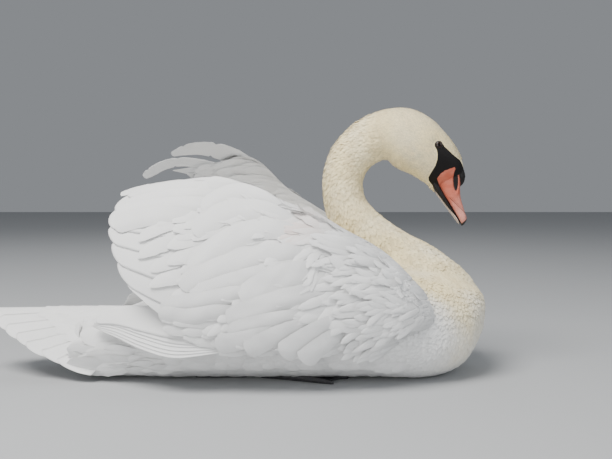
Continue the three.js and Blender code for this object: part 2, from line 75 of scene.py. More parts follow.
def turned(a, b, angle):
    # a pair of coordinates turned by an angle
    return a * math.cos(angle) - b * math.sin(angle), a * math.sin(angle) + b * math.cos(angle)


def power(value, exponent):
    # a power that keeps the sign
    return np.sign(value) * np.abs(value) ** exponent


def blend(a, b, share):
    return a * (1 - share) + b * share


def fadeIn(x, low, high):
    # 0 below low, 1 above high, with a smooth step between
    t = np.clip((x - low) / (high - low), 0, 1)
    return t * t * (3 - 2 * t)


def spot(a, wide, b, tall):
    # 1 in the middle of an oval, and less all round it
    return np.exp(-(a / wide) ** 2 - (b / tall) ** 2)


def wobble(points, size, seed):
    # smooth noise from -1 to 1: six sine waves of random heading, about size long
    dice = np.random.default_rng(seed)
    total = 0
    for _ in range(6):
        heading = unit(dice.normal(size=3)) * (fullTurn / size) * dice.uniform(0.7, 1.5)
        total = total + np.sin(points @ heading + dice.uniform(0, fullTurn))
    return total / 2.6


trunk = {
    # [x, back height, belly height, half width] from vent to breast
    "stations": [
        [-352, 64, 40, 12], [-336, 82, 8, 58], [-290, 98, -6, 98], [-212, 128, -9, 132],
        [-110, 186, -9, 157], [0, 216, -9, 168], [110, 200, -9, 163], [205, 172, -9, 138],
        [266, 152, 10, 102], [299, 130, 56, 56], [308, 108, 82, 12],
    ],
    "squareness": 0.82, "coatDepth": 8, "breastDepth": 3.2,
}


def trunkSurface(s, angle):
    # squared-off ellipses round the stations, a coat's depth inside, less on the breast with its short feathers;
    # s runs from vent to breast, angle from the left side over the back
    x, top, bottom, half = np.moveaxis(curve(trunk["stations"], s), -1, 0)
    inset = blend(trunk["coatDepth"], trunk["breastDepth"], fadeIn(x, 120, 240))
    shrink = np.where((s <= 0) | (s >= 1), 0.4, 1.0)
    tall = np.maximum((top - bottom) / 2 - inset, 1) * power(np.sin(angle), trunk["squareness"]) * shrink
    wide = np.maximum(half - inset, 1) * power(np.cos(angle), trunk["squareness"]) * shrink
    return np.stack([x, wide, (top + bottom) / 2 + tall], -1)


def insideTrunk(p, margin):
    # which points lie inside the trunk, from its section at that x
    stations = curve(trunk["stations"], np.linspace(0, 1, 240))
    top, bottom, half = (np.interp(p[:, 0], stations[:, 0], stations[:, i]) for i in (1, 2, 3))
    e = 2 / trunk["squareness"]
    fill = np.abs(p[:, 1] / np.maximum(half - margin, 1)) ** e
    fill = fill + np.abs((p[:, 2] - (top + bottom) / 2) / np.maximum((top - bottom) / 2 - margin, 1)) ** e
    return (fill < 1) & (p[:, 0] > stations[0, 0] + margin) & (p[:, 0] < stations[-1, 0] - margin)


neck = {
    # [x, z, half depth, half width] from the breast up over the arch to the bill
    "stations": [
        [224, 100, 80, 78], [204, 137, 68, 69], [167, 169, 55, 58], [138.4, 197, 48, 50],
        [117.5, 219.3, 43, 45], [101, 240.6, 39, 41], [88, 268, 35.4, 37.5], [84.4, 302, 34.4, 35],
        [92, 331, 35.6, 34], [105, 350, 36.6, 33.5], [125, 366, 38.5, 33], [151.5, 375.7, 41.6, 33.5],
        [178, 373.2, 47.6, 34.5], [201, 360.5, 48, 35.5], [217.5, 348.5, 44, 35],
        [230.5, 336.5, 41, 33], [241, 324.5, 37.5, 29], [247.5, 315, 33.8, 25], [253, 304.6, 28, 19],
    ],
    "headFrom": 0.6, "coatDepth": 3, "headCoatDepth": 1.4,
}


def neckSurface(t, angle):
    # ellipses square to a spine that runs from the breast over the arch, a coat's depth inside;
    # angle pi/2 is the nape and crown
    depth, width = np.moveaxis(curve(neck["stations"], t)[..., 2:], -1, 0)
    inset = blend(neck["coatDepth"], neck["headCoatDepth"], fadeIn(t, 0.5, 0.7))
    x, z = sidePath(neck["stations"], t, np.maximum(depth - inset, 1) * np.sin(angle), 0.004)
    return np.stack([x, np.maximum(width - inset, 1) * np.cos(angle), z], -1)


def insideNeck(p, margin):
    # which points lie inside the neck, by the nearest of many spine stations
    stations = curve(neck["stations"], np.linspace(0, 1, 160))
    gap = np.linalg.norm(p[:, None, [0, 2]] - stations[None, :, :2], axis=-1)
    k = np.argmin(gap, axis=1)
    near = stations[k]
    fill = (gap[np.arange(len(p)), k] / (near[:, 2] - margin)) ** 2 + (p[:, 1] / (near[:, 3] - margin)) ** 2
    return (fill < 1) & (k > 3)


def makeWing(side, dome, top, rear):
    # a wing's four edges in side view; dome is its middle x and z, then its width, length and height.
    # The crest is the front and top edge as one line of falling x, which nothing on the wing may rise past
    front = [[182, 72], [212, 100], [201, 136], [166, 176], [130, 206], [84, 231], [40, 258]]
    bottom = [[182, 72], [100, 66], [0, 68], [-80, 76], [-160, 104], [-214, 143]]
    crest = [curve(front, np.linspace(0.2, 1, 60)), curve(top, np.linspace(0.01, 1, 60))]
    return {"side": side, "dome": dome, "front": np.array(front, float), "bottom": bottom, "top": top,
            "rear": np.array(rear, float), "crest": np.concatenate(crest)[::-1]}


wings = {
    "right": makeWing(
        -1, (-30, 128, 196, 400, 218),
        [[40, 258], [-6, 273], [-38, 290], [-76, 303], [-117, 309], [-165, 304], [-222, 295]],
        [[-214, 143], [-238, 162], [-251, 190], [-258, 216], [-265, 237], [-262, 260], [-246, 281], [-222, 295]]),
    "left": makeWing(
        1, (-30, 146, 196, 400, 256),
        [[40, 258], [-8, 289], [-50, 331], [-82, 346], [-110, 337], [-138, 331], [-170, 327], [-207, 321]],
        [[-214, 143], [-240, 166], [-254, 196], [-262, 225], [-262, 252], [-246, 277], [-214, 294],
         [-176, 304], [-184, 315], [-207, 321]]),
}
arm = {"low": 78, "high": 11, "vane": 3.2, "coatDepth": 4.5, "thinnest": 7}


def domeHalf(wing, x, z):
    # half the bird's width at a place of the wing in side view: an ellipsoid over the back
    cx, cz, width, length, height = wing["dome"]
    return width * np.sqrt(np.maximum(1 - ((x - cx) / length) ** 2 - ((z - cz) / height) ** 2, 0.02))


def sided(wing, x, y, z):
    return np.stack(np.broadcast_arrays(x, wing["side"] * y, z), -1)


def crestAt(wing, x):
    return np.interp(x, wing["crest"][:, 0], wing["crest"][:, 1])


def underCrest(wing, x, z, soft=2.0):
    # heights brought softly down to the crest where they pass it
    over = np.maximum(z - crestAt(wing, x), 0)
    return z - over + soft * (1 - np.exp(-over / soft))


def wingPlace(wing, u, v):
    # side-view place between the wing's four edges (a Coons patch): u from wrist to tips, v from below to above
    u, v = np.broadcast_arrays(np.asarray(u, float), np.asarray(v, float))
    uu, vv = u[..., None], v[..., None]
    front, rear = wing["front"], wing["rear"]
    corners = blend(blend(front[0], front[-1], vv), blend(rear[0], rear[-1], vv), uu)
    place = (blend(curve(front, v), curve(rear, v), uu)
             + blend(curve(wing["bottom"], u), curve(wing["top"], u), vv) - corners)
    place[..., 1] = underCrest(wing, place[..., 0], place[..., 1])
    return place


def edgeTurn(u, v):
    # how far the wing's leading and lower edges turn in to the flank
    turn = 16 * np.maximum(0, 1 - u / 0.12) ** 2 + 20 * np.maximum(0, 1 - v / 0.16) ** 2 * (1 - u)
    return np.minimum(turn, 24)


def wingSurface(wing, u, v, depth=0.0):
    # the wing's outer face, or one depth mm inside it
    x, z = np.moveaxis(wingPlace(wing, u, v), -1, 0)
    return sided(wing, x, domeHalf(wing, x, z) - depth - edgeTurn(u, v), z)


def armThickness(u, v):
    # how deep the arm is behind the wing's outer face
    deep = (1 - 0.55 * u) * arm["low"] * (1 - v) ** 0.8 + arm["high"] * (1 - u)
    rim = np.sqrt(np.sin(np.pi * np.clip(v, 0.06, 0.94))) * np.minimum(1, 0.3 + 5 * u)
    return arm["vane"] + deep * (0.3 + 0.7 * rim)


def armRing(wing, s, a):
    # one loop of the arm at share s of its length: a runs over the outer face, the top rim and the inner face
    u = 0.03 + s * 0.52
    v = 0.5 + 0.44 * np.cos(a) * np.minimum(1, 0.35 + 8 * s)
    thick = np.maximum(armThickness(u, v) - 2 * arm["coatDepth"], arm["thinnest"])
    return wingSurface(wing, u, v, arm["coatDepth"] + thick / 2 * (1 - np.sin(a)))


bill = {
    "corner": (232.3, 311.0), "pitch": math.radians(-61.3),
    # [along, ridge height, edge height, half width]
    "upper": [[-6, 38, -3, 18], [3, 37, -4, 18.3], [14, 35, -4.6, 18.5], [26, 30, -4.4, 17.5],
              [38, 23, -4, 16.5], [50, 18, -3.2, 15.5], [66, 14.5, -2.5, 15], [78, 12, -2, 14.6],
              [85, 9, -1.8, 12], [89.4, 3, -1.4, 5]],
    "lower": [[2, -2.4, -13, 14], [20, -2.4, -13.5, 14.3], [42, -2.4, -10.5, 13.5], [62, -2.4, -7.5, 12.6],
              [78, -2.4, -5, 10.5], [84.5, -2.8, -4.2, 5]],
    "nostril": (19.5, 22.8, 17.5, 4.3),  # along, height, half length, half depth
    "nostrilSlope": math.radians(-27),
    "lipLine": (39.0, 0.8, 0.33),  # the groove over the lip: where it starts, its height there, its slope
}


def billPlace(p):
    # (along, height) of points in the bill's own frame, from the corner of the mouth
    return turned(p[..., 0] - bill["corner"][0], p[..., 2] - bill["corner"][1], -bill["pitch"])


def billPoint(along, aside, height):
    x, z = turned(along, height, bill["pitch"])
    return np.stack(np.broadcast_arrays(bill["corner"][0] + x, aside, bill["corner"][1] + z), -1)


def billLine(half, column, along):
    # one of the measures of a half's stations, between them
    stations = np.array(bill[half])
    return np.interp(along, stations[:, 0], stations[:, column])


def nostrilOval(along, height):
    # 1 on the nostril's rim, less inside: a slanting oval on the bill's side
    middle, tall, half, deep = bill["nostril"]
    a, b = turned(along - middle, height - tall, -bill["nostrilSlope"])
    return (a / half) ** 2 + (b / deep) ** 2


def lipHeight(along, height):
    start, foot, rise = bill["lipLine"]
    return height - foot - rise * (along - start)


def chinSurface(s, a):
    # a wedge of feathered skin under the root of the lower bill
    belt = np.sqrt(np.sin(np.pi * (0.02 + 0.96 * s)))
    return billPoint(-16 + 40 * s, 10 * belt * np.cos(a), -12 + 6 * belt * np.sin(a))


# the lower bill's pale colour is a painted highlight for its bottom edge
colours = {
    "white": (0.80, 0.803, 0.80), "cream": (0.87, 0.75, 0.44), "nape": (0.72, 0.60, 0.35),
    "cheek": (0.52, 0.50, 0.41), "stainPink": (0.80, 0.62, 0.56), "stainYellow": (0.85, 0.81, 0.62),
    "blackSkin": (0.010, 0.009, 0.009), "orange": (0.50, 0.115, 0.068), "pink": (0.60, 0.235, 0.175),
    "dark": (0.008, 0.007, 0.007), "rimHighlight": (0.72, 0.60, 0.54), "tip": (0.66, 0.33, 0.28),
    "pupil": (0.003, 0.002, 0.002), "iris": (0.020, 0.009, 0.005), "lid": (0.009, 0.008, 0.008),
}
colours = {name: np.array(colour) for name, colour in colours.items()}
lores = {
    # the bare black skin in side view: its rear edge as [height, x] and its upper edge as [x, height]
    "rear": [[276, 240], [286, 233], [295, 227], [300, 222.5], [304, 219.2], [309, 218.2], [314, 220.3],
             [320, 223.3], [327, 227.3], [337, 230], [345, 230.2], [351, 229.2], [355, 227.2], [367, 227]],
    "upper": [[226, 366], [232, 366], [238, 363], [242, 357], [256, 344.6], [269, 335.5], [277, 321]],
    "eyeRing": 6.7, "soft": 0.4,
}
eyes = {"x": 232.4, "z": 359.0, "y": 27.6, "radius": 6.4, "flatness": 0.66}


def loreMask(p, margin=0.0):
    # 1 inside both soft edges of the black skin, or in the ring round an eye, widened by margin
    x, z = p[..., 0], p[..., 2]
    edge = lambda gap: fadeIn(gap + margin, -lores["soft"], lores["soft"])
    rear, upper = np.array(lores["rear"]), np.array(lores["upper"])
    below = np.minimum(np.interp(x, upper[:, 0], upper[:, 1]) - z, 362 - z)
    between = edge(x - np.interp(z, rear[:, 0], rear[:, 1])) * edge(below)
    ring = edge(lores["eyeRing"] - np.hypot(x - eyes["x"], z - eyes["z"]))
    return np.maximum(between, ring) * (x > 205) * (z > 270)


def hornMask(p):
    # 1 where the bill's orange begins: past a slanting border in the bill's own frame, up to the black ridge
    along, height = billPlace(p)
    border = np.interp(height, [-4, 0, 6, 13, 26, 38], [5, 1.5, -1.2, -2.2, -0.2, 2.6])
    border = border + 0.2 * np.sin(height * 0.8)
    ridge = np.interp(along, [-4, 6, 14], [30.5, 29.5, 27])
    # the nostril is cut out of the orange and stays black: painted shade for its opening
    return (fadeIn(along - border, -0.4, 0.4) * fadeIn(height - billLine("upper", 2, along), 0.8, 1.8)
            * fadeIn(nostrilOval(along, height), 0.8, 1.15) * (1 - fadeIn(height - ridge, -0.6, 0.6)))


def hornOrange(place):
    # the bill's salmon orange by (along, aside, height) in its own frame: cloudy, and paler towards the tip
    warm = np.clip(0.5 + 0.5 * wobble(place.reshape(-1, 3), 14, 31).reshape(place.shape[:-1]), 0, 1)[..., None]
    colour = blend(colours["orange"], colours["pink"], 0.35 * warm)
    return blend(colour, colours["tip"], 0.6 * fadeIn(place[..., 0], 30, 78)[..., None])


def plumage(p, margin=0.0):
    # colour of skin and coat at a root: white body, cream neck and breast, stains in the wing's fold
    x, y, z = p.T
    spine = np.array(neck["stations"])[None, :, :2]
    toNeck = np.min(np.linalg.norm(p[:, None, [0, 2]] - spine, axis=-1), axis=1)
    onNeck = 1 - fadeIn(toNeck + 0.25 * np.abs(y), 62, 135)
    onNeck = onNeck * fadeIn(z + 0.9 * x, 190, 300) * (1 - fadeIn(np.abs(y), 95, 130))
    onNeck = onNeck * (0.5 + 0.5 * fadeIn(z - 0.35 * (x - 200), 40, 130))
    head = fadeIn(x - 130, 0, 40) * fadeIn(z, 260, 290)
    cream = np.clip(onNeck * (0.88 + 0.12 * wobble(p, 60, 3)), 0, 1)
    nape = cream * (0.30 + 0.30 * wobble(p, 26, 5) + 0.22 * wobble(p, 9, 6)) * (1 - 0.55 * head)
    dusk = spot(x - 196, 30, z - 338, 26) * head * np.clip(0.45 + 0.4 * wobble(p, 15, 8), 0, 1)
    dusk = dusk + 0.6 * spot(x - 224, 5, z - 366, 6) * head
    black = loreMask(p, margin)
    colour = colours["white"]
    for name, share in (("cream", cream), ("nape", np.clip(nape, 0, 1)),
                        ("stainPink", spot(x - 30, 18, z - 238, 14) * 0.5 * (y < 0)),
                        ("stainYellow", spot(x + 20, 28, z - 284 + 0.4 * x, 9) * 0.35 * (y < 0)),
                        ("cheek", np.clip(0.42 * dusk, 0, 1)), ("blackSkin", black)):
        colour = blend(colour, colours[name], share[:, None])
    along, height = billPlace(p)
    horn = hornOrange(np.stack([along, y, height], -1))
    return np.clip(blend(colour, horn, (hornMask(p) * black)[:, None]), 0, 1)


def newMaterial(name, roughness, **sockets):
    # a Principled material with plain values on the shader's own sockets
    material = bpy.data.materials.new(name)
    material.use_nodes = True
    shader = material.node_tree.nodes["Principled BSDF"]
    shader.inputs["Roughness"].default_value = roughness
    for socket, value in sockets.items():
        shader.inputs[socket].default_value = value
    return material, material.node_tree, shader


def addMath(tree, operation, *values):
    node = tree.nodes.new("ShaderNodeMath")
    node.operation = operation
    for socket, value in zip(node.inputs, values):
        if isinstance(value, (int, float)):
            socket.default_value = value
        else:
            tree.links.new(value, socket)
    return node.outputs[0]


def addAttribute(tree, name, output):
    node = tree.nodes.new("ShaderNodeAttribute")
    node.attribute_name = name
    return node.outputs[output]


def addTexture(tree, kind, turn=None, **values):
    # a texture read in the object's own coordinates, or in ones turned and stretched first
    place = tree.nodes.new("ShaderNodeTexCoord").outputs["Object"]
    if turn:
        mapping = tree.nodes.new("ShaderNodeMapping")
        mapping.inputs["Rotation"].default_value, mapping.inputs["Scale"].default_value = turn
        tree.links.new(place, mapping.inputs["Vector"])
        place = mapping.outputs["Vector"]
    node = tree.nodes.new(kind)
    for socket, value in values.items():
        node.inputs[socket].default_value = value
    tree.links.new(place, node.inputs["Vector"])
    return node


def addBump(tree, shader, height, strength, distance, invert=False):
    bump = tree.nodes.new("ShaderNodeBump")
    bump.inputs["Strength"].default_value = strength
    bump.inputs["Distance"].default_value = distance
    bump.invert = invert
    tree.links.new(height, bump.inputs["Height"])
    tree.links.new(bump.outputs["Normal"], shader.inputs["Normal"])


def paintTint(tree, shader, mottle=0, grain=None):
    # the colour carried on each mesh, made lighter and darker by a texture, up to half of mottle each way
    tint = addAttribute(tree, "tint", "Color")
    if grain:
        scaled = tree.nodes.new("ShaderNodeVectorMath")
        scaled.operation = "SCALE"
        tree.links.new(tint, scaled.inputs[0])
        shade = addMath(tree, "MULTIPLY_ADD", grain.outputs["Fac"], mottle, 1 - mottle / 2)
        tree.links.new(shade, scaled.inputs["Scale"])
        tint = scaled.outputs[0]
    tree.links.new(tint, shader.inputs["Base Color"])


def plumeMaterial(name, roughness, barbBump, mottle, mottleSize):
    # feather vanes: fine barbs as ridges along the barb attribute
    material, tree, shader = newMaterial(
        name, roughness, **{"Specular IOR Level": 0.2, "Sheen Weight": 0.08, "Sheen Roughness": 0.5})
    paintTint(tree, shader, mottle, addTexture(tree, "ShaderNodeTexNoise", Scale=mottleSize, Detail=3.0))
    turns = addMath(tree, "MULTIPLY", addAttribute(tree, "barb", "Fac"), barbTurn)
    addBump(tree, shader, addMath(tree, "SINE", turns), barbBump, 0.0004)
    return material


def skinMaterial():
    # down close to the skin: the plumage's own colours with a fine fluffy bump
    material, tree, shader = newMaterial("downySkin", 0.85, **{"Specular IOR Level": 0.2, "Sheen Weight": 0.2})
    paintTint(tree, shader)
    addBump(tree, shader, addTexture(tree, "ShaderNodeTexNoise", Scale=420, Detail=4).outputs["Fac"], 0.35, 0.0008)
    return material


def hornMaterial(name, roughness, bumpStrength, shine=0.45):
    # horn: painted tint broken by fine streaks along the bill, with faint scratches and pits
    material, tree, shader = newMaterial(
        name, roughness, **{"Specular IOR Level": shine, "Coat Weight": shine / 3, "Coat Roughness": 0.3})
    alongBill = ((0, -bill["pitch"], 0), (60, 700, 700))
    streak = addTexture(tree, "ShaderNodeTexNoise", alongBill, Scale=1.0, Detail=5)
    paintTint(tree, shader, 0.3, streak)
    addBump(tree, shader, streak.outputs["Fac"], bumpStrength, 0.0005)
    return material


def footMaterial():
    # scaled dark skin: small cells as bump, a little lighter between them
    material, tree, shader = newMaterial("footSkin", 0.55, **{"Specular IOR Level": 0.4})
    cells = addTexture(tree, "ShaderNodeTexVoronoi", Scale=420).outputs["Distance"]
    ramp = tree.nodes.new("ShaderNodeValToRGB")
    ramp.color_ramp.elements[0].color = (0.016, 0.016, 0.018, 1)
    ramp.color_ramp.elements[1].color = (0.055, 0.055, 0.06, 1)
    tree.links.new(cells, ramp.inputs["Fac"])
    tree.links.new(ramp.outputs["Color"], shader.inputs["Base Color"])
    addBump(tree, shader, cells, 0.5, 0.0006, invert=True)
    return material


def setPoints(mesh, points):
    mesh.vertices.foreach_set("co", (np.asarray(points) * mm).astype(np.float32).ravel())


def getPoints(mesh):
    co = np.empty(len(mesh.vertices) * 3, np.float32)
    mesh.vertices.foreach_get("co", co)
    return co.reshape(-1, 3).astype(float) / mm


def setTint(mesh, tint):
    rgba = np.concatenate([tint, np.ones((len(tint), 1))], 1).astype(np.float32)
    mesh.attributes.new("tint", "FLOAT_COLOR", "POINT").data.foreach_set("color", rgba.ravel())


def evaluated(thing):
    bpy.context.view_layer.update()
    return thing.evaluated_get(bpy.context.evaluated_depsgraph_get())


def addModifier(thing, kind, **values):
    modifier = thing.modifiers.new(kind.lower(), kind)
    for key, value in values.items():
        setattr(modifier, key, value)
    return modifier


def workIn(thing):
    # the thing's mesh with its modifiers worked in
    mesh = bpy.data.meshes.new_from_object(evaluated(thing))
    thing.modifiers.clear()
    thing.data = mesh
    return mesh


def makeMesh(name, points, quads, material=None, tint=None, barb=None, bake=None, smooth=True):
    # one mesh object from arrays in millimetres; bake holds each corner point's place on the unwrap
    mesh = bpy.data.meshes.new(name)
    mesh.vertices.add(len(points))
    setPoints(mesh, points)
    mesh.loops.add(quads.size)
    mesh.loops.foreach_set("vertex_index", quads.astype(np.int32).ravel())
    mesh.polygons.add(len(quads))
    mesh.polygons.foreach_set("loop_start", np.arange(0, quads.size, quads.shape[1], dtype=np.int32))
    mesh.polygons.foreach_set("use_smooth", np.full(len(quads), smooth))
    if tint is not None:
        setTint(mesh, tint)
    if barb is not None:
        mesh.attributes.new("barb", "FLOAT", "POINT").data.foreach_set("value", barb.astype(np.float32))
    if bake is not None:
        layer = mesh.uv_layers.new(name="OFBake")
        layer.data.foreach_set("uv", bake[quads.ravel()].astype(np.float32).ravel())
    mesh.update(calc_edges=True)
    mesh.validate()
    thing = bpy.data.objects.new(name, mesh)
    bpy.context.scene.collection.objects.link(thing)
    if material is not None:
        mesh.materials.append(material)
    return thing


def finished(thing, slot, *nodes):
    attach(thing, "root")
    if nodes:
        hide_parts(*nodes)
    return thing


def gridFaces(rows, columns, wrap=False):
    # quads of a rows x columns grid of points, closed round the columns when wrap
    i = np.arange(rows - 1)[:, None]
    j = np.arange(columns if wrap else columns - 1)[None, :]
    k = (j + 1) % columns
    return np.stack([i * columns + j, i * columns + k, (i + 1) * columns + k, (i + 1) * columns + j],
                    -1).reshape(-1, 4)


def splitQuads(quads):
    return np.concatenate([quads[:, [0, 1, 2]], quads[:, [0, 2, 3]]])


def isInsideOut(points, triangles):
    # a closed form whose faces look inwards has a negative volume
    a, b, c = (points[triangles[:, i]] for i in range(3))
    return np.einsum("ij,ij->i", a, np.cross(b, c)).sum() < 0


def loopGrid(rows, columns, low=0.0, high=1.0):
    # shares along a tube and angles round it
    return np.meshgrid(np.linspace(low, high, rows), np.arange(columns) * fullTurn / columns, indexing="ij")


def closeTube(points, turnQuads=False):
    # a grid that wraps round as outward triangles, with both ends drawn to their middles; turnQuads turns a form
    # that is inside out before its quads are split, which splits them along their other diagonals
    rows, columns = points.shape[:2]
    quads = gridFaces(rows, columns, wrap=True)
    flat = np.concatenate([points.reshape(-1, 3), points[0].mean(0)[None], points[-1].mean(0)[None]])
    j = np.arange(columns)
    k = (j + 1) % columns
    first, last = 0 * j + rows * columns, (rows - 1) * columns
    caps = np.concatenate([np.stack([first, k, j], -1), np.stack([first + 1, last + j, last + k], -1)])
    triangles = np.concatenate([splitQuads(quads), caps])
    if isInsideOut(flat, triangles):
        early = np.concatenate([splitQuads(quads[:, ::-1]), caps[:, ::-1]])
        triangles = early if turnQuads else triangles[:, ::-1]
    return flat, triangles


skin = {
    "voxel": 3.3, "smoothing": 12, "breastSmoothing": 90, "socketDepth": 2.2, "socketSize": 8.5, "floorGap": 1.0,
    # where the crop and the front of the neck swell forwards and up: x, z, size and the push in x and z
    "fullness": [(285, 150, 34, (4.5, 4.5)), (205, 208, 28, (1.8, 3.2))],
    "blackInset": 2.5,
}


def eyeCentre(side):
    return np.array([eyes["x"], side * eyes["y"], eyes["z"]])


def buildSkin():
    # trunk, neck, both arms and chin as closed forms, melted into one by a voxel remesh
    forms = [(trunkSurface, 80, 96), (neckSurface, 140, 72)]
    forms += [(lambda s, a, wing=wing: armRing(wing, s, a), 60, 64) for wing in wings.values()]
    points, faces, start = [], [], 0
    for surface, rows, columns in forms + [(chinSurface, 24, 32)]:
        flat, triangles = closeTube(surface(*loopGrid(rows, columns)), turnQuads=True)
        points.append(flat)
        faces.append(triangles + start)
        start += len(flat)
    thing = makeMesh("skin", np.concatenate(points), np.concatenate(faces))
    addModifier(thing, "REMESH", mode="VOXEL", voxel_size=skin["voxel"] * mm)
    addModifier(thing, "SMOOTH", iterations=skin["smoothing"], factor=0.5)
    melted = workIn(thing)
    p = getPoints(melted)
    p[:, 2] = np.maximum(p[:, 2], skin["floorGap"])
    for side in (-1, 1):
        away = np.linalg.norm(p - eyeCentre(side), axis=1)
        p[:, 1] -= side * skin["socketDepth"] * np.exp(-(away / skin["socketSize"]) ** 2)
    for x, z, size, push in skin["fullness"]:
        swell = spot(p[:, 0] - x, size, p[:, 2] - z, size) * np.exp(-(p[:, 1] / 60) ** 2)
        p[:, [0, 2]] += swell[:, None] * np.array(push)
    setPoints(melted, p)
    # the crease where the neck leaves the breast is rounded further
    crease = fadeIn(p[:, 0], 110, 190) * (1 - fadeIn(p[:, 2], 190, 250)) * (1 - fadeIn(np.abs(p[:, 1]), 95, 125))
    crease = crease * (1 - fadeIn(p[:, 0], 235, 280))
    group = thing.vertex_groups.new(name="crease")
    for level in range(1, 5):
        group.add(np.flatnonzero(np.ceil(crease * 4) == level).tolist(), level / 4, "REPLACE")
    addModifier(thing, "SMOOTH", iterations=skin["breastSmoothing"], factor=0.5, vertex_group="crease")
    melted = workIn(thing)
    # the black stays a voxel inside its border here; the fine bare skin laid over it carries the edge
    setTint(melted, plumage(getPoints(melted), -skin["blackInset"]))
    melted.polygons.foreach_set("use_smooth", np.full(len(melted.polygons), True))
    melted.materials.clear()
    melted.materials.append(skinMaterial())
    melted.update()
    print("skin:", len(melted.polygons), "faces")
    return thing


def settle(roots, rise):
    # roots moved onto the skin and rise mm above it, with the skin's own outward direction there
    cloud = bpy.data.meshes.new("roots")
    cloud.vertices.add(len(roots))
    setPoints(cloud, roots)
    thing = bpy.data.objects.new("roots", cloud)
    bpy.context.scene.collection.objects.link(thing)
    wrap = addModifier(thing, "SHRINKWRAP", target=skinPiece, wrap_mode="ABOVE_SURFACE")
    places = []
    for offset in (rise, rise + 4):
        wrap.offset = offset * mm
        places.append(getPoints(evaluated(thing).to_mesh()))
    bpy.data.objects.remove(thing)
    return places[0], unit(places[1] - places[0])


def vaneOutline(s, roundness):
    # half width of a vane along its length: narrow at the root, full past the middle, round at the tip
    body = 1 - np.exp(-7 * s - 0.35)
    tip = np.sqrt(1 - 0.975 * np.clip((s - roundness) / (1 - roundness), 0, 1) ** 2.2)
    return body * tip


def vaneGrid(rows, columns):
    # s runs along a vane from its root, c across it from -1 to 1
    return np.linspace(0, 1, rows)[None, :, None], np.linspace(-1, 1, columns)[None, None, :]


def vanePatch(s, c):
    return np.stack(np.broadcast_arrays(c * patchSize / 2, (s - 0.5) * patchSize), -1)


def vaneMesh(name, slot, points, s, c, tint, barb, unwrap, flip=False):
    # one mesh of vanes whose points are (vane, row, column, xyz), each with its own patch of the unwrap
    shape = points.shape[:3]
    faces = gridFaces(*shape[1:])
    faces = faces[:, ::-1] if flip else faces
    faces = faces[None] + (np.arange(shape[0]) * shape[1] * shape[2])[:, None, None]
    bake = np.broadcast_to(unwrap[:, None, None] + vanePatch(s, c), shape + (2,))
    print(name, len(points), "vanes")
    return finished(makeMesh(name, points.reshape(-1, 3), faces.reshape(-1, 4), plumes[slot],
                             np.broadcast_to(tint, shape + (3,)).reshape(-1, 3),
                             np.broadcast_to(barb, shape).ravel(), bake.reshape(-1, 2)), slot)


def growVanes(name, slot, look, roots, ahead, normal, length, width, unwrap, seed):
    # many small vanes at once, bent down to the body and tilted to overlap
    dice = np.random.default_rng(seed)
    laidRoots.append(roots)
    n, rows, columns = len(roots), look["rows"] + 1, look["columns"] + 1
    s, c = vaneGrid(rows, columns)
    side = unit(np.cross(normal, ahead))
    long, half = length[:, None, None], width[:, None, None] / 2 * vaneOutline(s, look["roundness"])
    spread = c * half * (1 + look["ragged"] * dice.uniform(-1, 1, (n, rows, columns)) * np.abs(c) * (s > 0.2))
    rise = (look["lift"] * (0.6 + 0.8 * dice.random((n, 1, 1)))) * long * s * (1 - 0.45 * s)
    hug = (long * s) ** 2 / (2 * look["bodyRadius"])
    up = rise - hug - look["camber"] * c ** 2 * half + look["tilt"] * c * half - look["sink"] * (1 - s)
    run = long * s * (1 + 0.05 * look["ragged"] * np.sin(9 * c + 7 * dice.random((n, 1, 1))))
    points = (roots[:, None, None] + ahead[:, None, None] * run[..., None]
              + side[:, None, None] * spread[..., None] + normal[:, None, None] * up[..., None])
    points[..., 2] = np.maximum(points[..., 2], 0.6)
    shade = 1 + look["shade"] * dice.uniform(-1, 1, (n, 1))
    # painted shade: each vane is painted darker towards its root, where the vanes over it would shade it (rootShade)
    deep = blend(look["rootShade"], 1, np.minimum(1, 1.5 * s)) + 0 * c
    tint = np.clip(plumage(roots) * shade, 0, 1)[:, None, None] * deep[..., None]
    barb = (long * s * 0.9 - np.abs(spread) * 0.8) / look["barbSpacing"]
    return vaneMesh(name, slot, points, s, c, tint, barb, unwrap * 0.96 + 0.02)


def scatterRoots(surface, low, high, gapAlong, gapAcross, seed, jitter=0.3):
    # rows of roots over a surface of shares and angles, spaced by the gaps in mm wanted at a row's middle
    dice = np.random.default_rng(seed)
    rows, here = [], low
    while here < high:
        ring = surface(np.full(200, here), np.linspace(0, fullTurn, 200))
        around = np.linalg.norm(np.diff(ring, axis=0), axis=1).sum()
        middle = surface(np.array([here, min(here + 0.002, 1)]), np.array([1.2, 1.2]))
        pace = max(np.linalg.norm(middle[1] - middle[0]) / 0.002, 60)
        across, along = gapAcross(ring.mean(0)), gapAlong(ring.mean(0))
        count = max(int(around / across), 6)
        angle = (np.arange(count) + 0.5 * (len(rows) % 2) + dice.uniform(-jitter, jitter, count)) / count
        share = here + dice.uniform(-jitter, jitter, count) * along / pace
        rows.append(np.stack([share, angle * fullTurn], -1))
        here += along / pace
    return np.concatenate(rows).T


# rootShade is painted shade: how dark each vane is painted at its root, where the vanes over it shade it
bodyCoat = {
    "rows": 6, "columns": 4, "roundness": 0.55, "ragged": 0.14, "lift": 0.14, "bodyRadius": 190,
    "camber": 0.12, "tilt": 0.06, "sink": 3.0, "shade": 0.035, "rootShade": 0.84, "barbSpacing": 1.1,
}


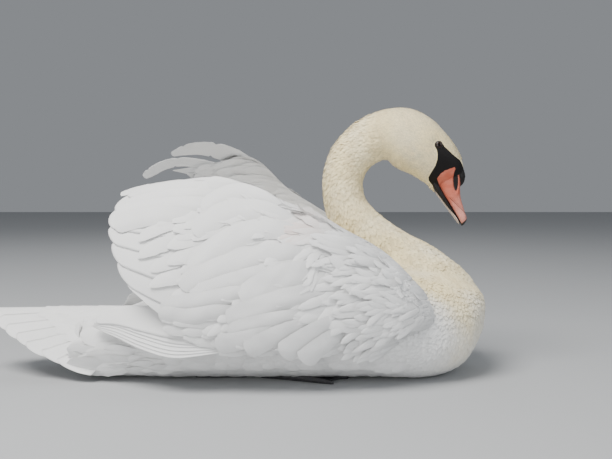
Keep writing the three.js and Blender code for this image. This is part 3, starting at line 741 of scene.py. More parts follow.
def coatTrunk():
    # contour feathers of flanks, back and belly
    dice = np.random.default_rng(11)
    size = lambda p: (30 - 18 * fadeIn(p[..., 0], 90, 200) + 14 * fadeIn(-p[..., 0], 100, 280)
                      - 24 * fadeIn(-p[..., 0], 280, 320))
    s, angle = scatterRoots(trunkSurface, 0.03, 0.985, lambda p: size(p) * 0.34, lambda p: size(p) * 0.42, 12)
    roots = trunkSurface(s, angle)
    x, y, z = roots.T
    keep = ~insideNeck(roots, 4) & (z > 4) & ~((x < -262) & (z > 60)) & (x < 150) & (x > -326)
    s, angle = s[keep], angle[keep]
    roots, normal = settle(roots[keep], 1.5)
    front = fadeIn(roots[:, 0], 150, 290)[:, None]
    field = blend(np.array([-1.0, 0, 0]), np.array([-0.25, 0, -0.95]), front)
    field[:, 1] += np.clip(roots[:, 1] / 90, -1, 1) * 0.18
    ahead = towards(field + dice.normal(0, 0.12, field.shape), normal)
    length = size(roots) * dice.uniform(0.95, 1.35, len(roots)) * 1.12
    width = length * 0.62 * dice.uniform(0.9, 1.1, len(roots))
    growVanes("trunkCoat", "body_plumage", bodyCoat, roots, ahead, normal, length, width,
              np.stack([s, angle / fullTurn % 1], -1), 13)


fluffCoat = dict(bodyCoat, rows=12, columns=6, roundness=0.45, ragged=0.05, lift=0.12, bodyRadius=240, sink=4.0,
                 rootShade=0.86)


def coatVent():
    # big soft feathers over the rear flanks, and a low row whose tips come down to the floor
    dice = np.random.default_rng(17)
    flank, n = 210, 510
    isSkirt = np.arange(n) >= flank
    either = lambda skirt, rear: np.where(isSkirt, dice.uniform(*skirt, n), dice.uniform(*rear, n))
    x = either((-250, 190), (-305, -90))
    half = np.interp(x, [-336, -290, -212, -110, 0, 110, 205], [58, 98, 132, 157, 168, 163, 138])
    z = either((20, 30), (14, 66))
    roots, normal = settle(np.stack([x, np.where(np.arange(n) % 2, 1, -1) * half, z], -1), 1.5)
    field = np.stack([np.full(n, -1.0), 0 * x, np.where(isSkirt, -0.55, -0.12)], -1)
    field = field + dice.normal(0, 0.1, field.shape)
    bridge = (fadeIn(-x, 180, 260) * (1 - isSkirt) * 0.45)[:, None]
    ahead = unit(blend(towards(field, normal), unit(field), bridge))
    length = either((30, 38), (48, 74)) + 24 * fadeIn(-x, 180, 260) * ~isSkirt
    length = np.minimum(length, np.maximum(342 + x, 42))
    unwrap = np.stack([(roots[:, 0] + 360) / 560, 0.3 + 0.4 * (roots[:, 1] > 0) + roots[:, 2] / 400], -1)
    growVanes("ventFluff", "body_plumage", fluffCoat, roots, ahead, normal, length,
              length * np.where(isSkirt, 0.6, 0.46), np.clip(unwrap, 0, 1), 18)


neckCoat = dict(bodyCoat, rows=4, columns=2, roundness=0.45, ragged=0.15, lift=0.24, bodyRadius=60, camber=0.3,
                tilt=0.12, sink=1.8, shade=0.12, rootShade=0.62, barbSpacing=0.9)
headCoat = dict(neckCoat, rows=3, roundness=0.4, lift=0.16, bodyRadius=40, sink=0.9, shade=0.10, rootShade=0.72,
                barbSpacing=0.8)


def coatNeck(name, low, high, size, look, seed):
    # feathers of one size that lie down the neck from the bill, clear of trunk and bare skin
    gap = lambda p: size * 0.36
    t, angle = scatterRoots(neckSurface, low, high, gap, gap, seed, 0.35)
    roots, along = neckSurface(t, angle), slope(neckSurface, t, angle)
    billAlong, billHeight = billPlace(roots)
    keep = ~insideTrunk(roots, 5) & (loreMask(roots, 0.9) < 0.02)
    keep &= ~((roots[:, 0] > 226) & (billAlong > -2.0) & (billHeight > -3))
    t, angle, along = t[keep], angle[keep], along[keep]
    roots, normal = settle(roots[keep], 0.8)
    dice = np.random.default_rng(seed + 1)
    ahead = towards(towards(-along, normal) + dice.normal(0, 0.14, along.shape), normal)
    length = size * dice.uniform(0.85, 1.25, len(roots)) * (1 + 0.8 * fadeIn(-t, -0.16, -0.02))
    width = length * dice.uniform(0.5, 0.66, len(roots))
    unwrap = np.stack([(t - low) / (high - low), angle / fullTurn % 1], -1)
    growVanes(name, "neck_plumage", look, roots, ahead, normal, length, width, np.clip(unwrap, 0, 1), seed + 2)


def coatChin():
    # the short feathers of the chin's wedge
    dice = np.random.default_rng(91)
    n = 260
    s, a = dice.uniform(0.02, 0.9, n), dice.uniform(np.pi * 1.02, np.pi * 1.98, n)
    along = slope(chinSurface, s, a)
    roots, normal = settle(chinSurface(s, a), 0.3)
    ahead = towards(-along + dice.normal(0, 2, along.shape), normal)
    length = dice.uniform(3.6, 5, n)
    growVanes("chinCoat", "neck_plumage", headCoat, roots, ahead, normal, length, length * 0.5,
              np.stack([s, a / fullTurn], -1), 92)


def bareRoots(region, spacing):
    # skin points of a region, thinned to one per cell, where no vane laid so far has its root near
    p = getPoints(skinPiece.data)
    p = p[region(*p.T)]
    p = p[np.unique(np.floor(p / spacing).astype(int), axis=0, return_index=True)[1]]
    laid = np.concatenate(laidRoots)
    laid = laid[(laid > p.min(0) - 20).all(1) & (laid < p.max(0) + 20).all(1)]
    gap = (p ** 2).sum(1)[:, None] + (laid ** 2).sum(1)[None] - 2 * p @ laid.T
    return p[gap.min(1) > spacing ** 2]


def fillCoat(name, slot, look, region, spacing, field, size, seed, facing=-0.45):
    # vanes for the places that the rows of roots left bare, where the skin faces far enough forwards
    roots = bareRoots(region, spacing)
    dice = np.random.default_rng(seed)
    roots, normal = settle(roots + dice.normal(0, spacing * 0.2, roots.shape), 1.0)
    keep = normal[:, 0] > facing
    roots, normal = roots[keep], normal[keep]
    heading = field(roots)
    ahead = towards(heading + dice.normal(0, 0.12, heading.shape), normal)
    length = size * dice.uniform(0.9, 1.25, len(roots))
    unwrap = (roots - roots.min(0)) / (roots.max(0) - roots.min(0))
    growVanes(name, slot, look, roots, ahead, normal, length, length * 0.6, unwrap[:, [0, 2]], seed + 1)


def breastFlow(p):
    # the lie of the breast's feathers: down along the neck, then down over the front and back along the sides
    low = blend(np.array([-0.95, 0, -0.3]), np.array([-0.35, 0, -0.95]), fadeIn(p[:, 0], 150, 275)[:, None])
    return blend(low, np.array([0.62, 0, -0.78]), fadeIn(p[:, 2], 105, 190)[:, None])


armCoat = dict(bodyCoat, lift=0.05, shade=0.02, ragged=0.08)


def coatArm(name, wing, seed):
    # contour feathers all round the arm's first third, which close the wing's leading edge
    dice = np.random.default_rng(seed)
    surface = lambda s, a: armRing(wing, s, a)
    s, a = scatterRoots(surface, 0.0, 0.3, lambda p: 9, lambda p: 12, seed)
    s = np.clip(s, 0.0, 0.32)
    along = slope(surface, np.clip(s, 0.002, 0.98), a)
    roots, normal = settle(surface(s, a), 0.5)
    clear = (normal[:, 0] > -0.4) & ((np.sin(a) < 0.6) | (s < 0.08))
    clear &= roots[:, 2] < crestAt(wing, roots[:, 0]) - 0.5
    s, a, along, roots, normal = s[clear], a[clear], along[clear], roots[clear], normal[clear]
    ahead = towards(unit(along) + dice.normal(0, 0.15, along.shape), normal)
    length = (22 + 22 * s) * dice.uniform(0.9, 1.2, len(s))
    growVanes(name, "body_plumage", armCoat, roots, ahead, normal, length, length * 0.55,
              np.stack([s, a / fullTurn % 1], -1), seed + 1)


crestCoat = dict(armCoat, bodyRadius=150, lift=0.03, sink=1.5)


def coatCrest(name, wing, seed):
    # feathers laid along the wing's top edge between its outer and inner faces, which close it from above
    dice = np.random.default_rng(seed)
    n = 150
    u, deep = np.linspace(0.04, 0.66, n), dice.uniform(0.1, 0.9, n)
    v = 0.985 - 0.02 * dice.random(n)
    place = lambda u: wingSurface(wing, u, v, 1 + deep * (armThickness(u, v) - 1))
    roots, along = place(u), place(u + 0.01) - place(u - 0.01)
    ahead = unit(along) + dice.normal(0, 0.05, along.shape)
    normal = unit(towards(np.array([0.3, wing["side"] * 0.2, 1.0]) + 0 * roots, unit(along)))
    length = (24 + 34 * u) * dice.uniform(0.9, 1.15, n)
    growVanes(name, "body_plumage", crestCoat, roots - normal * 1.2, towards(ahead, normal), normal, length,
              7 + 7 * u, np.stack([u, v], -1), seed + 1)


# rootShade is painted shade: how dark each vane is painted at its root, where the vanes over it shade it
covertLook = {
    "rows": 10, "columns": 6, "roundness": 0.42, "ragged": 0.3, "stray": 0.07, "rootDepth": 4.6, "tipDepth": -0.8,
    "camber": 0.10, "tilt": 0.07, "flick": 0.04, "shade": 0.025, "rootShade": 0.82, "barbSpacing": 1.2,
}
liningLook = dict(covertLook, columns=4, ragged=0.08, stray=0.04, rootDepth=3.4, tipDepth=-1.2, flick=0.0)
longLook = dict(covertLook, rows=16, columns=8, ragged=0.14, stray=0.05, rootDepth=4.5, tipDepth=-1.2, tilt=0.12,
                flick=0.01)
# how the loose feathers of the wing's front turn and swell in waves, and how they turn at the fold
ruffle = {"turn": 0.55, "size": 42, "swell": 2.6, "foldTurn": 0.9, "largest": 22}


def wingVanes(name, wing, look, u, v, length, width, droop, seed, inner=False):
    # vanes laid on the wing's dome: each bends in side view by its droop and keeps its depth inside the dome
    dice = np.random.default_rng(seed)
    n, rows, columns = len(u), look["rows"] + 1, look["columns"] + 1
    s, c = vaneGrid(rows, columns)
    facing = lambda step: np.arctan2(step[:, 1], step[:, 0]) % fullTurn
    start = wingPlace(wing, u, v)
    ahead = wingPlace(wing, u + 0.02, v) - start
    here = np.stack([start[:, 0], 0 * u, start[:, 1]], -1)
    loose = 0 * u if inner else 1 - fadeIn(u, 0.12, 0.42)
    fold = 0 * u if inner else spot(start[:, 0] - 47, 22, start[:, 1] - 212, 38)
    heading = facing(ahead) + dice.normal(0, look["stray"], n) + ruffle["foldTurn"] * fold
    heading = heading + ruffle["turn"] * loose * (1 - fadeIn(v, 0.8, 0.95)) * wobble(here, ruffle["size"], 61)
    heading = heading[:, None, None]
    swell = (ruffle["swell"] * (0.35 + loose) * wobble(here, ruffle["size"], 62))[:, None, None]
    long, wide = length[:, None, None], width[:, None, None]
    # each vane bends at least as much as the wing's line does over its length
    span = np.linalg.norm(wingPlace(wing, 0 * u + 1, v) - wingPlace(wing, 0 * u, v), axis=-1)
    later = np.minimum(u + length / span, 0.97)
    turning = facing(wingPlace(wing, later + 0.02, v) - wingPlace(wing, later, v)) - facing(ahead)
    bend = np.maximum(droop, turning)[:, None, None] + 1e-4
    now = heading + bend * s
    half = wide / 2 * vaneOutline(s, look["roundness"])
    spread = c * half * (1 - look["ragged"] * dice.random((n, rows, columns)) * np.abs(c) ** 3 * (s > 0.25))
    x = start[:, 0, None, None] + long * (np.sin(now) - np.sin(heading)) / bend - np.sin(now) * spread
    z = start[:, 1, None, None] - long * (np.cos(now) - np.cos(heading)) / bend + np.cos(now) * spread
    z = underCrest(wing, x, z)
    # heading points back, so the side away from +c faces down; the lower edge lies over the next vane
    depth = blend(look["rootDepth"], look["tipDepth"], s ** 0.8) + (look["camber"] * c ** 2 - look["tilt"] * c) * half
    depth = depth + dice.uniform(-0.5, 0.5, (n, 1, 1)) - swell * s * (wide < ruffle["largest"])
    depth = depth - look["flick"] * dice.random((n, 1, 1)) ** 3 * s ** 2 * long
    if inner:
        depth = armThickness(u, v)[:, None, None] - depth
    y = domeHalf(wing, x, z) - depth - edgeTurn(u, v)[:, None, None] * (1 - 0.5 * s)
    points = sided(wing, x, y, z)
    if not inner:
        laidRoots.append(points[:, 2:-1:2, columns // 2].reshape(-1, 3))
    shade = 1 + look["shade"] * dice.uniform(-1, 1, (n, 1))
    # painted shade: each vane darker towards its root, where the vanes over it shade it, and a little darker along
    # one long edge
    deep = blend(look["rootShade"], 1, fadeIn(s, 0.1, 0.85)) * (0.97 + 0.03 * fadeIn(-c, -1, 0.4))
    tint = np.clip(plumage(points[:, rows // 3, columns // 2]) * shade, 0, 1)[:, None, None] * deep[..., None]
    barb = (long * s * 0.9 - np.abs(spread) * 0.8) / look["barbSpacing"]
    vaneMesh(name, "body_plumage", points, s, c, tint, barb, np.stack([u, v], -1) * 0.9 + 0.05,
             (wing["side"] > 0) != inner)


def covertRows(wing, seed, lastShare, sizeScale):
    # staggered rows of roots from the wrist to the greater coverts, with sizes that grow along the wing
    dice = np.random.default_rng(seed)
    rows, here = [], -0.01
    while here < lastShare:
        size = (19 + 62 * np.clip(here / 0.6, 0, 1) ** 1.1) * sizeScale
        edge = wingPlace(wing, np.full(40, max(here, 0.0)), np.linspace(0, 1, 40))
        tall = np.linalg.norm(np.diff(edge, axis=0), axis=1).sum()
        count = max(int(tall / (size * 0.20 + 2)), 5)
        v = (np.arange(count) + 0.25 + 0.5 * (len(rows) % 2) + dice.uniform(-0.3, 0.3, count)) / count
        v = v * (1 - (0.2 * size + 3) / tall)
        u = here + dice.uniform(-0.4, 0.4, count) * size * 0.3 / 400
        rows.append(np.stack([np.clip(u, 0.0, 1), np.clip(v, 0.005, 0.985), np.full(count, size)], -1))
        here += size * 0.27 / 400
    return np.concatenate(rows).T


def coatWing(name, wing, seed):
    # small coverts outside, a lining inside and a few staggered columns of long coverts over both
    dice = np.random.default_rng(seed + 1)
    # how far a vane may run before it passes the wing's rear edge
    reach = lambda u, v: np.linalg.norm(wingPlace(wing, 1 + 0 * u, v) - wingPlace(wing, u, v), axis=-1)
    u, v, size = covertRows(wing, seed, 0.58, 1.0)
    young = 1 - fadeIn(size, 20, 55)
    length = size * dice.uniform(1.0, 1.4, len(u)) * (1 + 0.45 * young)
    width = (size * 0.34 + 4) * dice.uniform(0.8, 1.15, len(u)) * (1 - 0.12 * young)
    droop = (0.2 + 0.6 * np.sin(np.pi * v) * fadeIn(u, 0.05, 0.4)) * dice.uniform(0.6, 1.3, len(u))
    wingVanes(name + "Coverts", wing, covertLook, u, v, np.minimum(length, reach(u, v) - 12), width, droop, seed + 2)
    u, v, size = covertRows(wing, seed + 5, 0.62, 1.2)
    length = (size * 1.15 + 12) * dice.uniform(0.95, 1.1, len(u))
    width = (size * 0.34 + 5) * dice.uniform(0.95, 1.05, len(u))
    wingVanes(name + "Lining", wing, liningLook, u, v, np.minimum(length, reach(u, v) - 14), width,
              np.full(len(u), 0.15), seed + 6, inner=True)
    lanes, columns = 9, 6
    n = lanes * columns
    row, k = np.tile(np.arange(columns), lanes), np.repeat(np.arange(lanes), columns)
    u = 0.17 + 0.075 * row + dice.uniform(-0.02, 0.02, n)
    v = (k + 0.35 + 0.5 * (row % 2)) / 9.3 + dice.uniform(-0.02, 0.02, n)
    length = (88 + 6 * row) * dice.uniform(0.9, 1.15, n)
    width = (24 + 1.2 * row) * dice.uniform(0.9, 1.1, n)
    bend = (0.25 + 0.75 * v) * dice.uniform(0.8, 1.2, n)
    wingVanes(name + "LongCoverts", wing, longLook, u, np.clip(v, 0.03, 0.93), length, width, bend, seed + 9)


flight = {"rows": 40, "columns": 8, "thickness": 0.9, "barbSpacing": 1.5, "rachis": 0.9}


def thickVanes(name, nodes, face, count, length, unwrap, seed, breaks, tipRound):
    # long feathers as thin closed lenses: face(k, s, c, depth) places share s along and c across feather k,
    # each tip is rounded by ending its edges earlier, and the shaft stands up as a ridge along the middle
    dice = np.random.default_rng(seed)
    rows, columns = flight["rows"] + 1, flight["columns"] + 1
    s, c = np.meshgrid(np.linspace(0, 1, rows) ** 0.85, np.linspace(-1, 1, columns), indexing="ij")
    grid, size = gridFaces(rows, columns), rows * columns
    edge = np.concatenate([np.arange(columns), columns * np.arange(1, rows) + columns - 1,
                           size - 2 - np.arange(columns - 1), columns * np.arange(rows - 2, 0, -1)])
    rim = np.stack([edge, edge + size, np.roll(edge, -1) + size, np.roll(edge, -1)], -1)
    points, faces, tints, barbs, bakes = [], [], [], [], []
    for k in range(count):
        cuts = 0.012 * wobble(np.stack([s * 60, c * 0.5, s * 0 + k], -1), 4, seed + k)
        for at in dice.uniform(0.3, 0.96, 5):
            cuts = cuts + (dice.uniform(0.05, 0.35) * breaks * np.exp(-((s - at) / 0.012) ** 2)
                           * (np.sign(c) == dice.choice([-1, 1])))
        across = c * (1 - cuts * np.abs(c) ** 3)
        along = s * (1 - (tipRound + 0.006 * dice.uniform(-1, 1, columns)) * np.abs(c) ** 2.4)
        ridge = flight["rachis"] * (1 - 0.85 * s) * np.exp(-(c * 5) ** 2)
        thin = flight["thickness"] * (1 - 0.6 * np.abs(c)) * (1 - 0.4 * s)
        both = np.concatenate([face(k, along, across, -thin / 2 - ridge).reshape(-1, 3),
                               face(k, along, across, thin / 2 + ridge * 0.4).reshape(-1, 3)])
        quads = np.concatenate([grid, grid[:, ::-1] + size, rim])
        if isInsideOut(both, splitQuads(quads)):
            quads = quads[:, ::-1]
        points.append(both)
        faces.append(quads + 2 * size * k)
        shade = np.clip(colours["white"] * (1 + 0.02 * dice.uniform(-1, 1)), 0, 1)
        tints.append(np.repeat(shade[None], len(both), 0))
        barbs.append(np.tile(((s * length - np.abs(c) * 9) / flight["barbSpacing"]).ravel(), 2))
        bakes.append(np.tile(vanePatch(s, c).reshape(-1, 2), (2, 1)) + np.array(unwrap(k)) * 0.9 + 0.05)
    finished(makeMesh(name, np.concatenate(points), np.concatenate(faces), plumes["body_plumage"],
                      np.concatenate(tints), np.concatenate(barbs), np.concatenate(bakes)), "body_plumage", *nodes)


def fanVanes(name, node, wing, seed):
    # the secondaries: overlapping strips along the wing's lines, each ending in the wing's rear outline
    count = len(wing["rear"]) - 1

    def face(k, s, c, depth):
        v = np.clip((k + 0.5) / count + c * 0.66 / count * (0.75 + 0.25 * s), -0.01, 1.005)
        u = 0.36 + (0.637 - 0.022 * (1 - fadeIn(v, 0.1, 0.42))) * s
        x, z = np.moveaxis(wingPlace(wing, u, np.clip(v, 0, 1)), -1, 0)
        order = 2.5 + 0.8 * c + 0.3 * c ** 2 - 0.3 * (1 - c) * s ** 3 + depth
        return sided(wing, x, domeHalf(wing, x, z) - order, z)

    thickVanes(name, [node], face, count, 230, lambda k: (0.8, (k + 0.5) / count), seed, 0.35, 0.05)


tertials = {
    # [x, z, half width] from root to tip of the long feathers that stand free
    "LeftUpper": ("left", "wing_left_tertial_upper", [[-60, 318, 14], [-92, 339, 16], [-122, 353, 13.5],
                                                      [-152, 357.5, 10.5], [-178, 354.5, 8], [-201, 347.5, 3.5]]),
    "LeftLower": ("left", "wing_left_tertial_lower", [[-100, 316, 8], [-145, 330, 8], [-185, 335.5, 7.6],
                                                      [-215, 330, 7.4], [-240, 317, 7], [-251, 309.5, 4]]),
    "Right": ("right", "wing_right_tertial", [[-110, 296, 8], [-160, 296, 7], [-200, 294, 6.5],
                                              [-226, 290, 5.4], [-244, 286, 4.4], [-254, 283, 2.8]]),
}


def tertialVane(name, node, wing, line, seed):
    def face(k, s, c, depth):
        x, z = sidePath(line, s, c * curve(line, s)[..., 2])
        return sided(wing, x, domeHalf(wing, x, z) - 5 - 0.6 * c - depth, z)

    thickVanes(name, [node], face, 1, 170, lambda k: (0.9, 0.9), seed, 1.0, 0.03)


primaries = {
    # [x, y, z, half height] of the folded bundle from its root to the longest tip
    "line": [[-70, 170, 78, 12], [-115, 172, 82, 24], [-165, 166, 86, 35], [-212, 150, 92, 33],
             [-250, 131, 96, 25], [-277, 117, 94, 15], [-292, 109, 92, 6]],
    # each feather: its lane in the bundle at its root and at its tip, how far it reaches, half width in lanes
    "feathers": [(-0.86, -0.55, 1.0, 0.16), (-0.72, -0.42, 0.985, 0.16), (-0.58, -0.25, 0.97, 0.17),
                 (-0.42, -0.05, 0.955, 0.18), (-0.2, 0.2, 0.94, 0.3), (0.35, 0.45, 0.91, 0.6)],
}


def primaryVanes(name, node, wing, seed):
    feathers = primaries["feathers"]

    def face(k, s, c, depth):
        low, high, reach, wide = feathers[k]
        x, y, z, tall = np.moveaxis(curve(primaries["line"], s * reach), -1, 0)
        rise = (low + (high - low) * s + c * wide * (1 - 0.2 * s)) * tall
        return sided(wing, x, y - 0.45 * rise - 1 + k * 1.1 - 1.4 * c - 1.0 * c ** 2 - depth, z + rise)

    thickVanes(name, [node], face, len(feathers), 230, lambda k: (0.5, (k + 0.5) / len(feathers)), seed, 0.15, 0.06)


lobes = (
    # broad scapulars and coverts that lie over the rows, lowest first: width, then [x, z] from root to tip
    (17, [[-60, 289], [-120, 295], [-180, 291], [-228, 284]]),
    (18, [[-60, 280], [-128, 284], [-190, 279], [-238, 266]]),
    (20, [[-60, 267], [-138, 271], [-203, 265], [-254, 253]]),
    (24, [[-120, 252], [-170, 256], [-215, 250], [-254, 240]]),
    (21, [[-50, 121], [-97, 122], [-142, 114], [-181, 119]]),
    (24, [[-3, 96], [-36, 89], [-71, 80], [-101, 75]]),
    (25, [[38, 107], [3, 97], [-33, 80], [-59, 67]]),
    (25, [[76, 94], [58, 82], [38, 66], [20, 50]]),
    (27, [[73, 112], [46, 98], [17, 80], [-9, 60]]),
    (23, [[38, 120], [-6, 113], [-44, 104], [-83, 92]]),
    (28, [[52, 147], [11, 144], [-32, 130], [-85, 110]]),
    (23, [[-27, 150], [-73, 147], [-120, 136], [-178, 127]]),
    (22, [[32, 188], [-18, 180], [-70, 166], [-135, 143]]),
    (28, [[38, 208], [-12, 202], [-71, 190], [-150, 156]]),
    (28, [[26, 226], [-27, 236], [-77, 224], [-137, 182]]),
    (27, [[14, 241], [-34, 261], [-88, 259], [-134, 231]]),
    (21, [[2, 258], [-38, 282], [-81, 287], [-124, 264]]),
    (18, [[-30, 288], [-66, 304], [-104, 302], [-132, 284]]),
    (35, [[46, 178], [8, 175], [-27, 160], [-62, 135]]),
)
lobeLook = {"rows": 30, "columns": 11, "length": 130, "barbSpacing": 1.4, "stray": 2.5}


def lobeVanes(name, wing, seed):
    # single long vanes over the coverts: the upper edge is sunk, the lower edge stands proud and droops
    dice = np.random.default_rng(seed)
    rows, columns = lobeLook["rows"], lobeLook["columns"]
    s, c = vaneGrid(rows, columns)
    points, tints, barbs = [], [], []
    for k, (width, line) in enumerate(lobes):
        stray = dice.normal(0, lobeLook["stray"], (4, 2)) * (wing["side"] > 0)
        half = width / 2 * (1 - np.exp(-6 * s - 0.5)) * (1 + 0.25 * s)
        ragged = 0.03 * dice.uniform(-1, 1, (rows, columns)) * (np.abs(c) > 0.6)
        along = s * (1 - (0.10 + 0.03 * dice.uniform(-1, 1, columns)) * np.abs(c) ** 2.2)
        x, z = sidePath(np.array(line) + stray, along, -c * half * (1 + ragged))
        z = underCrest(wing, x, z)
        # c runs downwards: sunk above, proud below, with a soft roll along the middle
        step = 1 + 0.9 * fadeIn(z, 225, 285)
        proud = (2.2 + 2.0 * c * step) * fadeIn(s, 0, 0.35) + 1.2 * (1 - c ** 2) - 5 * (1 - fadeIn(s, 0, 0.3))
        proud = proud + 0.5 * wobble(np.stack([x, z, 0 * x], -1), 30, seed + k)
        placed = sided(wing, x, domeHalf(wing, x, z) + proud, z)
        points.append(placed[0])
        shade = plumage(placed.reshape(-1, 3)[[rows * columns // 3]]) * (1 + 0.015 * dice.uniform(-1, 1))
        # painted shade: each lobe darker towards its root and along its sunk upper edge, where the lobe above shades
        # it
        deep = (0.86 + 0.14 * fadeIn(s, 0, 0.5)) * (0.88 + 0.12 * fadeIn(c, -1, 0.1))
        tints.append(np.clip(shade, 0, 1) * deep[0, ..., None])
        barbs.append((s * lobeLook["length"] - np.abs(c) * half * 0.8)[0] / lobeLook["barbSpacing"])
    place = (np.arange(len(lobes)) + 0.5) / len(lobes)
    vaneMesh(name, "body_plumage", np.array(points), s, c, np.array(tints), np.array(barbs),
             0.05 + 0.9 * np.stack([place, 0 * place + 0.3], -1), wing["side"] < 0)


tail = {
    "feathers": 7, "rootX": -236, "rootHalfWidth": 50, "rootZ": 104, "rootDrop": 34, "tipX": -482,
    "tipForward": 188, "tipHalfWidth": 112, "tipZ": 103, "tipDrop": 96, "length": 240,
}


def tailSurface(s, across, depth=0.0):
    # the fan's upper face: straight lines from the vent out to a drooping curved edge
    out = np.abs(across)
    tip = (tail["tipX"] + tail["tipForward"] * out ** 1.7, tail["tipHalfWidth"] * np.sign(across) * out ** 0.72,
           tail["tipZ"] - tail["tipDrop"] * out ** 0.9)
    root = (tail["rootX"], tail["rootHalfWidth"] * across, tail["rootZ"] - tail["rootDrop"] * out ** 1.5)
    x, y, z = (a + (b - a) * s for a, b in zip(root, tip))
    return np.stack([x, y, z - depth], -1)


def tailVanes():
    count = 2 * tail["feathers"]

    def face(k, s, c, depth):
        middle = ((k + 0.5) / count * 2 - 1) * 0.92
        across = np.clip(middle + c * 0.108, -1, 1)
        order = 2.4 + np.sign(middle) * 1.7 * c + 1.0 * c ** 2 + depth
        # the middle pair is longest, and the others end in steps
        reach = 0.995 - 0.06 * fadeIn(abs(middle), 0.08, 0.3) - 0.012 * (k % 2)
        return tailSurface(s * reach, across, order)

    thickVanes("tailFeathers", ["tail"], face, count, tail["length"], lambda k: ((k + 0.5) / count, 0.5), 71,
               0.35, 0.055)


def coatTail(name, shares, depths, length, seed):
    # coverts over or under the root of the fan, in rows between two shares of its length: each follows the
    # fan's own surface, from one depth at its root to another at its tip
    dice = np.random.default_rng(seed)
    s, c = vaneGrid(15, 7)
    root, middle = np.meshgrid(np.linspace(*shares, 9), np.linspace(-0.93, 0.93, 19), indexing="ij")
    root = (root + dice.uniform(-0.025, 0.025, root.shape)).ravel() * (1 - 0.25 * np.abs(middle.ravel()))
    middle = np.clip(middle + dice.uniform(-0.03, 0.03, middle.shape), -0.95, 0.95).ravel()
    n = len(root)
    reach = ((length - 0.16 * root) * dice.uniform(0.9, 1.12, n))[:, None, None]
    half = (0.082 * dice.uniform(0.9, 1.1, n))[:, None, None] * vaneOutline(s, 0.5)
    share = root[:, None, None] + reach * s + 0 * c
    across = np.clip(middle[:, None, None] + c * half, -1, 1)
    depth = blend(*depths, s ** 0.7) + np.sign(depths[0] - depths[1]) * c ** 2
    points = tailSurface(share, across, depth + dice.uniform(-0.4, 0.4, (n, 1, 1)))
    points[..., 2] = np.maximum(points[..., 2], 0.8)
    # each vane's own tone, with painted shade that darkens it towards its root, where the vanes over it shade it
    shade = (1 + 0.02 * dice.uniform(-1, 1, (n, 1, 1))) * (0.86 + 0.14 * fadeIn(s, 0.1, 0.7)) + 0 * c
    unwrap = np.stack([np.clip(root + 0.1, 0, 1), (middle + 1) / 2], -1) * 0.96 + 0.02
    vaneMesh(name, "body_plumage", points, s, c, np.clip(shade[..., None] * colours["white"], 0, 1),
             (share * tail["length"] - np.abs(c) * 8) / 1.2, unwrap)


def paintBill(half, place):
    # the bill's colours by its own frame: black edges, nail and base rim on salmon orange, the nostril black as
    # painted shade, painted shade along the lip's groove, and a black lower half with a painted highlight on its
    # bottom edge
    along, aside, height = np.moveaxis(place, -1, 0)
    if half == "lower":
        # painted highlight: the lower half turns pale along its bottom edge, more widely towards the tip
        wide = 1.6 * fadeIn(along, 45, 78)
        low = 1 - fadeIn(height - billLine("lower", 2, along), 0.3 + wide, 1.1 + wide)
        return blend(colours["dark"], colours["rimHighlight"], 0.85 * (low * fadeIn(along, 14, 30))[..., None])
    # the nostril's opening is painted black: painted shade for the hole over a shallow pit
    nostril = 1 - fadeIn(nostrilOval(along, height), 0.8, 1.15)
    edge = 1 - fadeIn(height - billLine("upper", 2, along), 0.8, 1.8)
    culmen = 1 - fadeIn(np.abs(aside) / 11 + np.clip(along / 52, 0, 2) ** 2.2, 0.9, 1.05)
    culmen = culmen * fadeIn(height - billLine("upper", 1, along) + 7.5, -0.8, 0.8)
    nail = 1 - fadeIn(((along - 90) / 12.5) ** 2 + (aside / 8.5) ** 2, 0.8, 1.1)
    nail = np.maximum(nail, fadeIn(along + 0.25 * height, 84.5, 86))
    # painted shade: a thin dark line along the lip's groove and a fainter one just above it, where its shade falls
    lip = lipHeight(along, height)
    lines = np.exp(-(lip / 0.55) ** 2) + 0.45 * np.exp(-((lip - 2.4) / 0.45) ** 2)
    lines = 0.9 * lines * fadeIn(along, 37, 42) * (1 - fadeIn(along, 72, 79)) * fadeIn(np.abs(aside), 5, 8)
    base = 1 - hornMask(billPoint(along, aside, height)) * fadeIn(30.8 - height, -0.6, 0.6)
    black = np.clip(nostril + edge + culmen + nail + base * (along < 12) + lines, 0, 1)[..., None]
    return blend(hornOrange(place), colours["dark"], black)


def sculptUpper(along, aside, height):
    # nostril pit and rim, a waist in front of them, the lip's groove and the step of the nail
    oval = nostrilOval(along, height)
    pit = 2.2 * np.exp(-oval ** 2 * 0.9) * fadeIn(along, 4, 10)
    rim = 0.5 * np.exp(-((oval - 1.7) / 0.5) ** 2)
    waist = 0.8 * np.exp(-((height - 9) / 5) ** 2) * fadeIn(along, 30, 50) * (1 - fadeIn(along, 70, 80))
    groove = 0.35 * np.exp(-(lipHeight(along, height) / 0.9) ** 2) * fadeIn(along, 37, 44)
    groove = groove * (1 - fadeIn(along, 72, 79))
    aside = np.sign(aside) * np.maximum(np.abs(aside) - pit + rim - waist - groove, 0)
    step = 0.5 * fadeIn(along, 76.5, 78) * (1 - fadeIn(np.abs(aside), 7, 8.5)) * (height > 2)
    return along, aside, height + step


def billHalf(name, half, rows, columns, sculpt, material, slot, *nodes):
    # one half of the bill: rounded back over a flat cutting edge, with ends closed to a point
    t, a = loopGrid(rows, columns)
    along, ridge, edge, wide = np.moveaxis(curve(bill[half], t), -1, 0)
    height = (ridge + edge) / 2 + np.abs(ridge - edge) / 2 * power(np.sin(a), 0.8)
    along, aside, height = sculpt(along, wide * power(np.cos(a), 0.75), height)
    flat, triangles = closeTube(billPoint(along, aside, height))
    tint = paintBill(half, np.stack([along, aside, height], -1)).reshape(-1, 3)
    tint = np.concatenate([tint, tint[:1], tint[-1:]])
    finished(makeMesh(name, flat, triangles, material, tint), slot, *nodes)


knob = {"place": (17, 31.5), "size": (17, 11.5, 11), "tilt": math.radians(-26)}


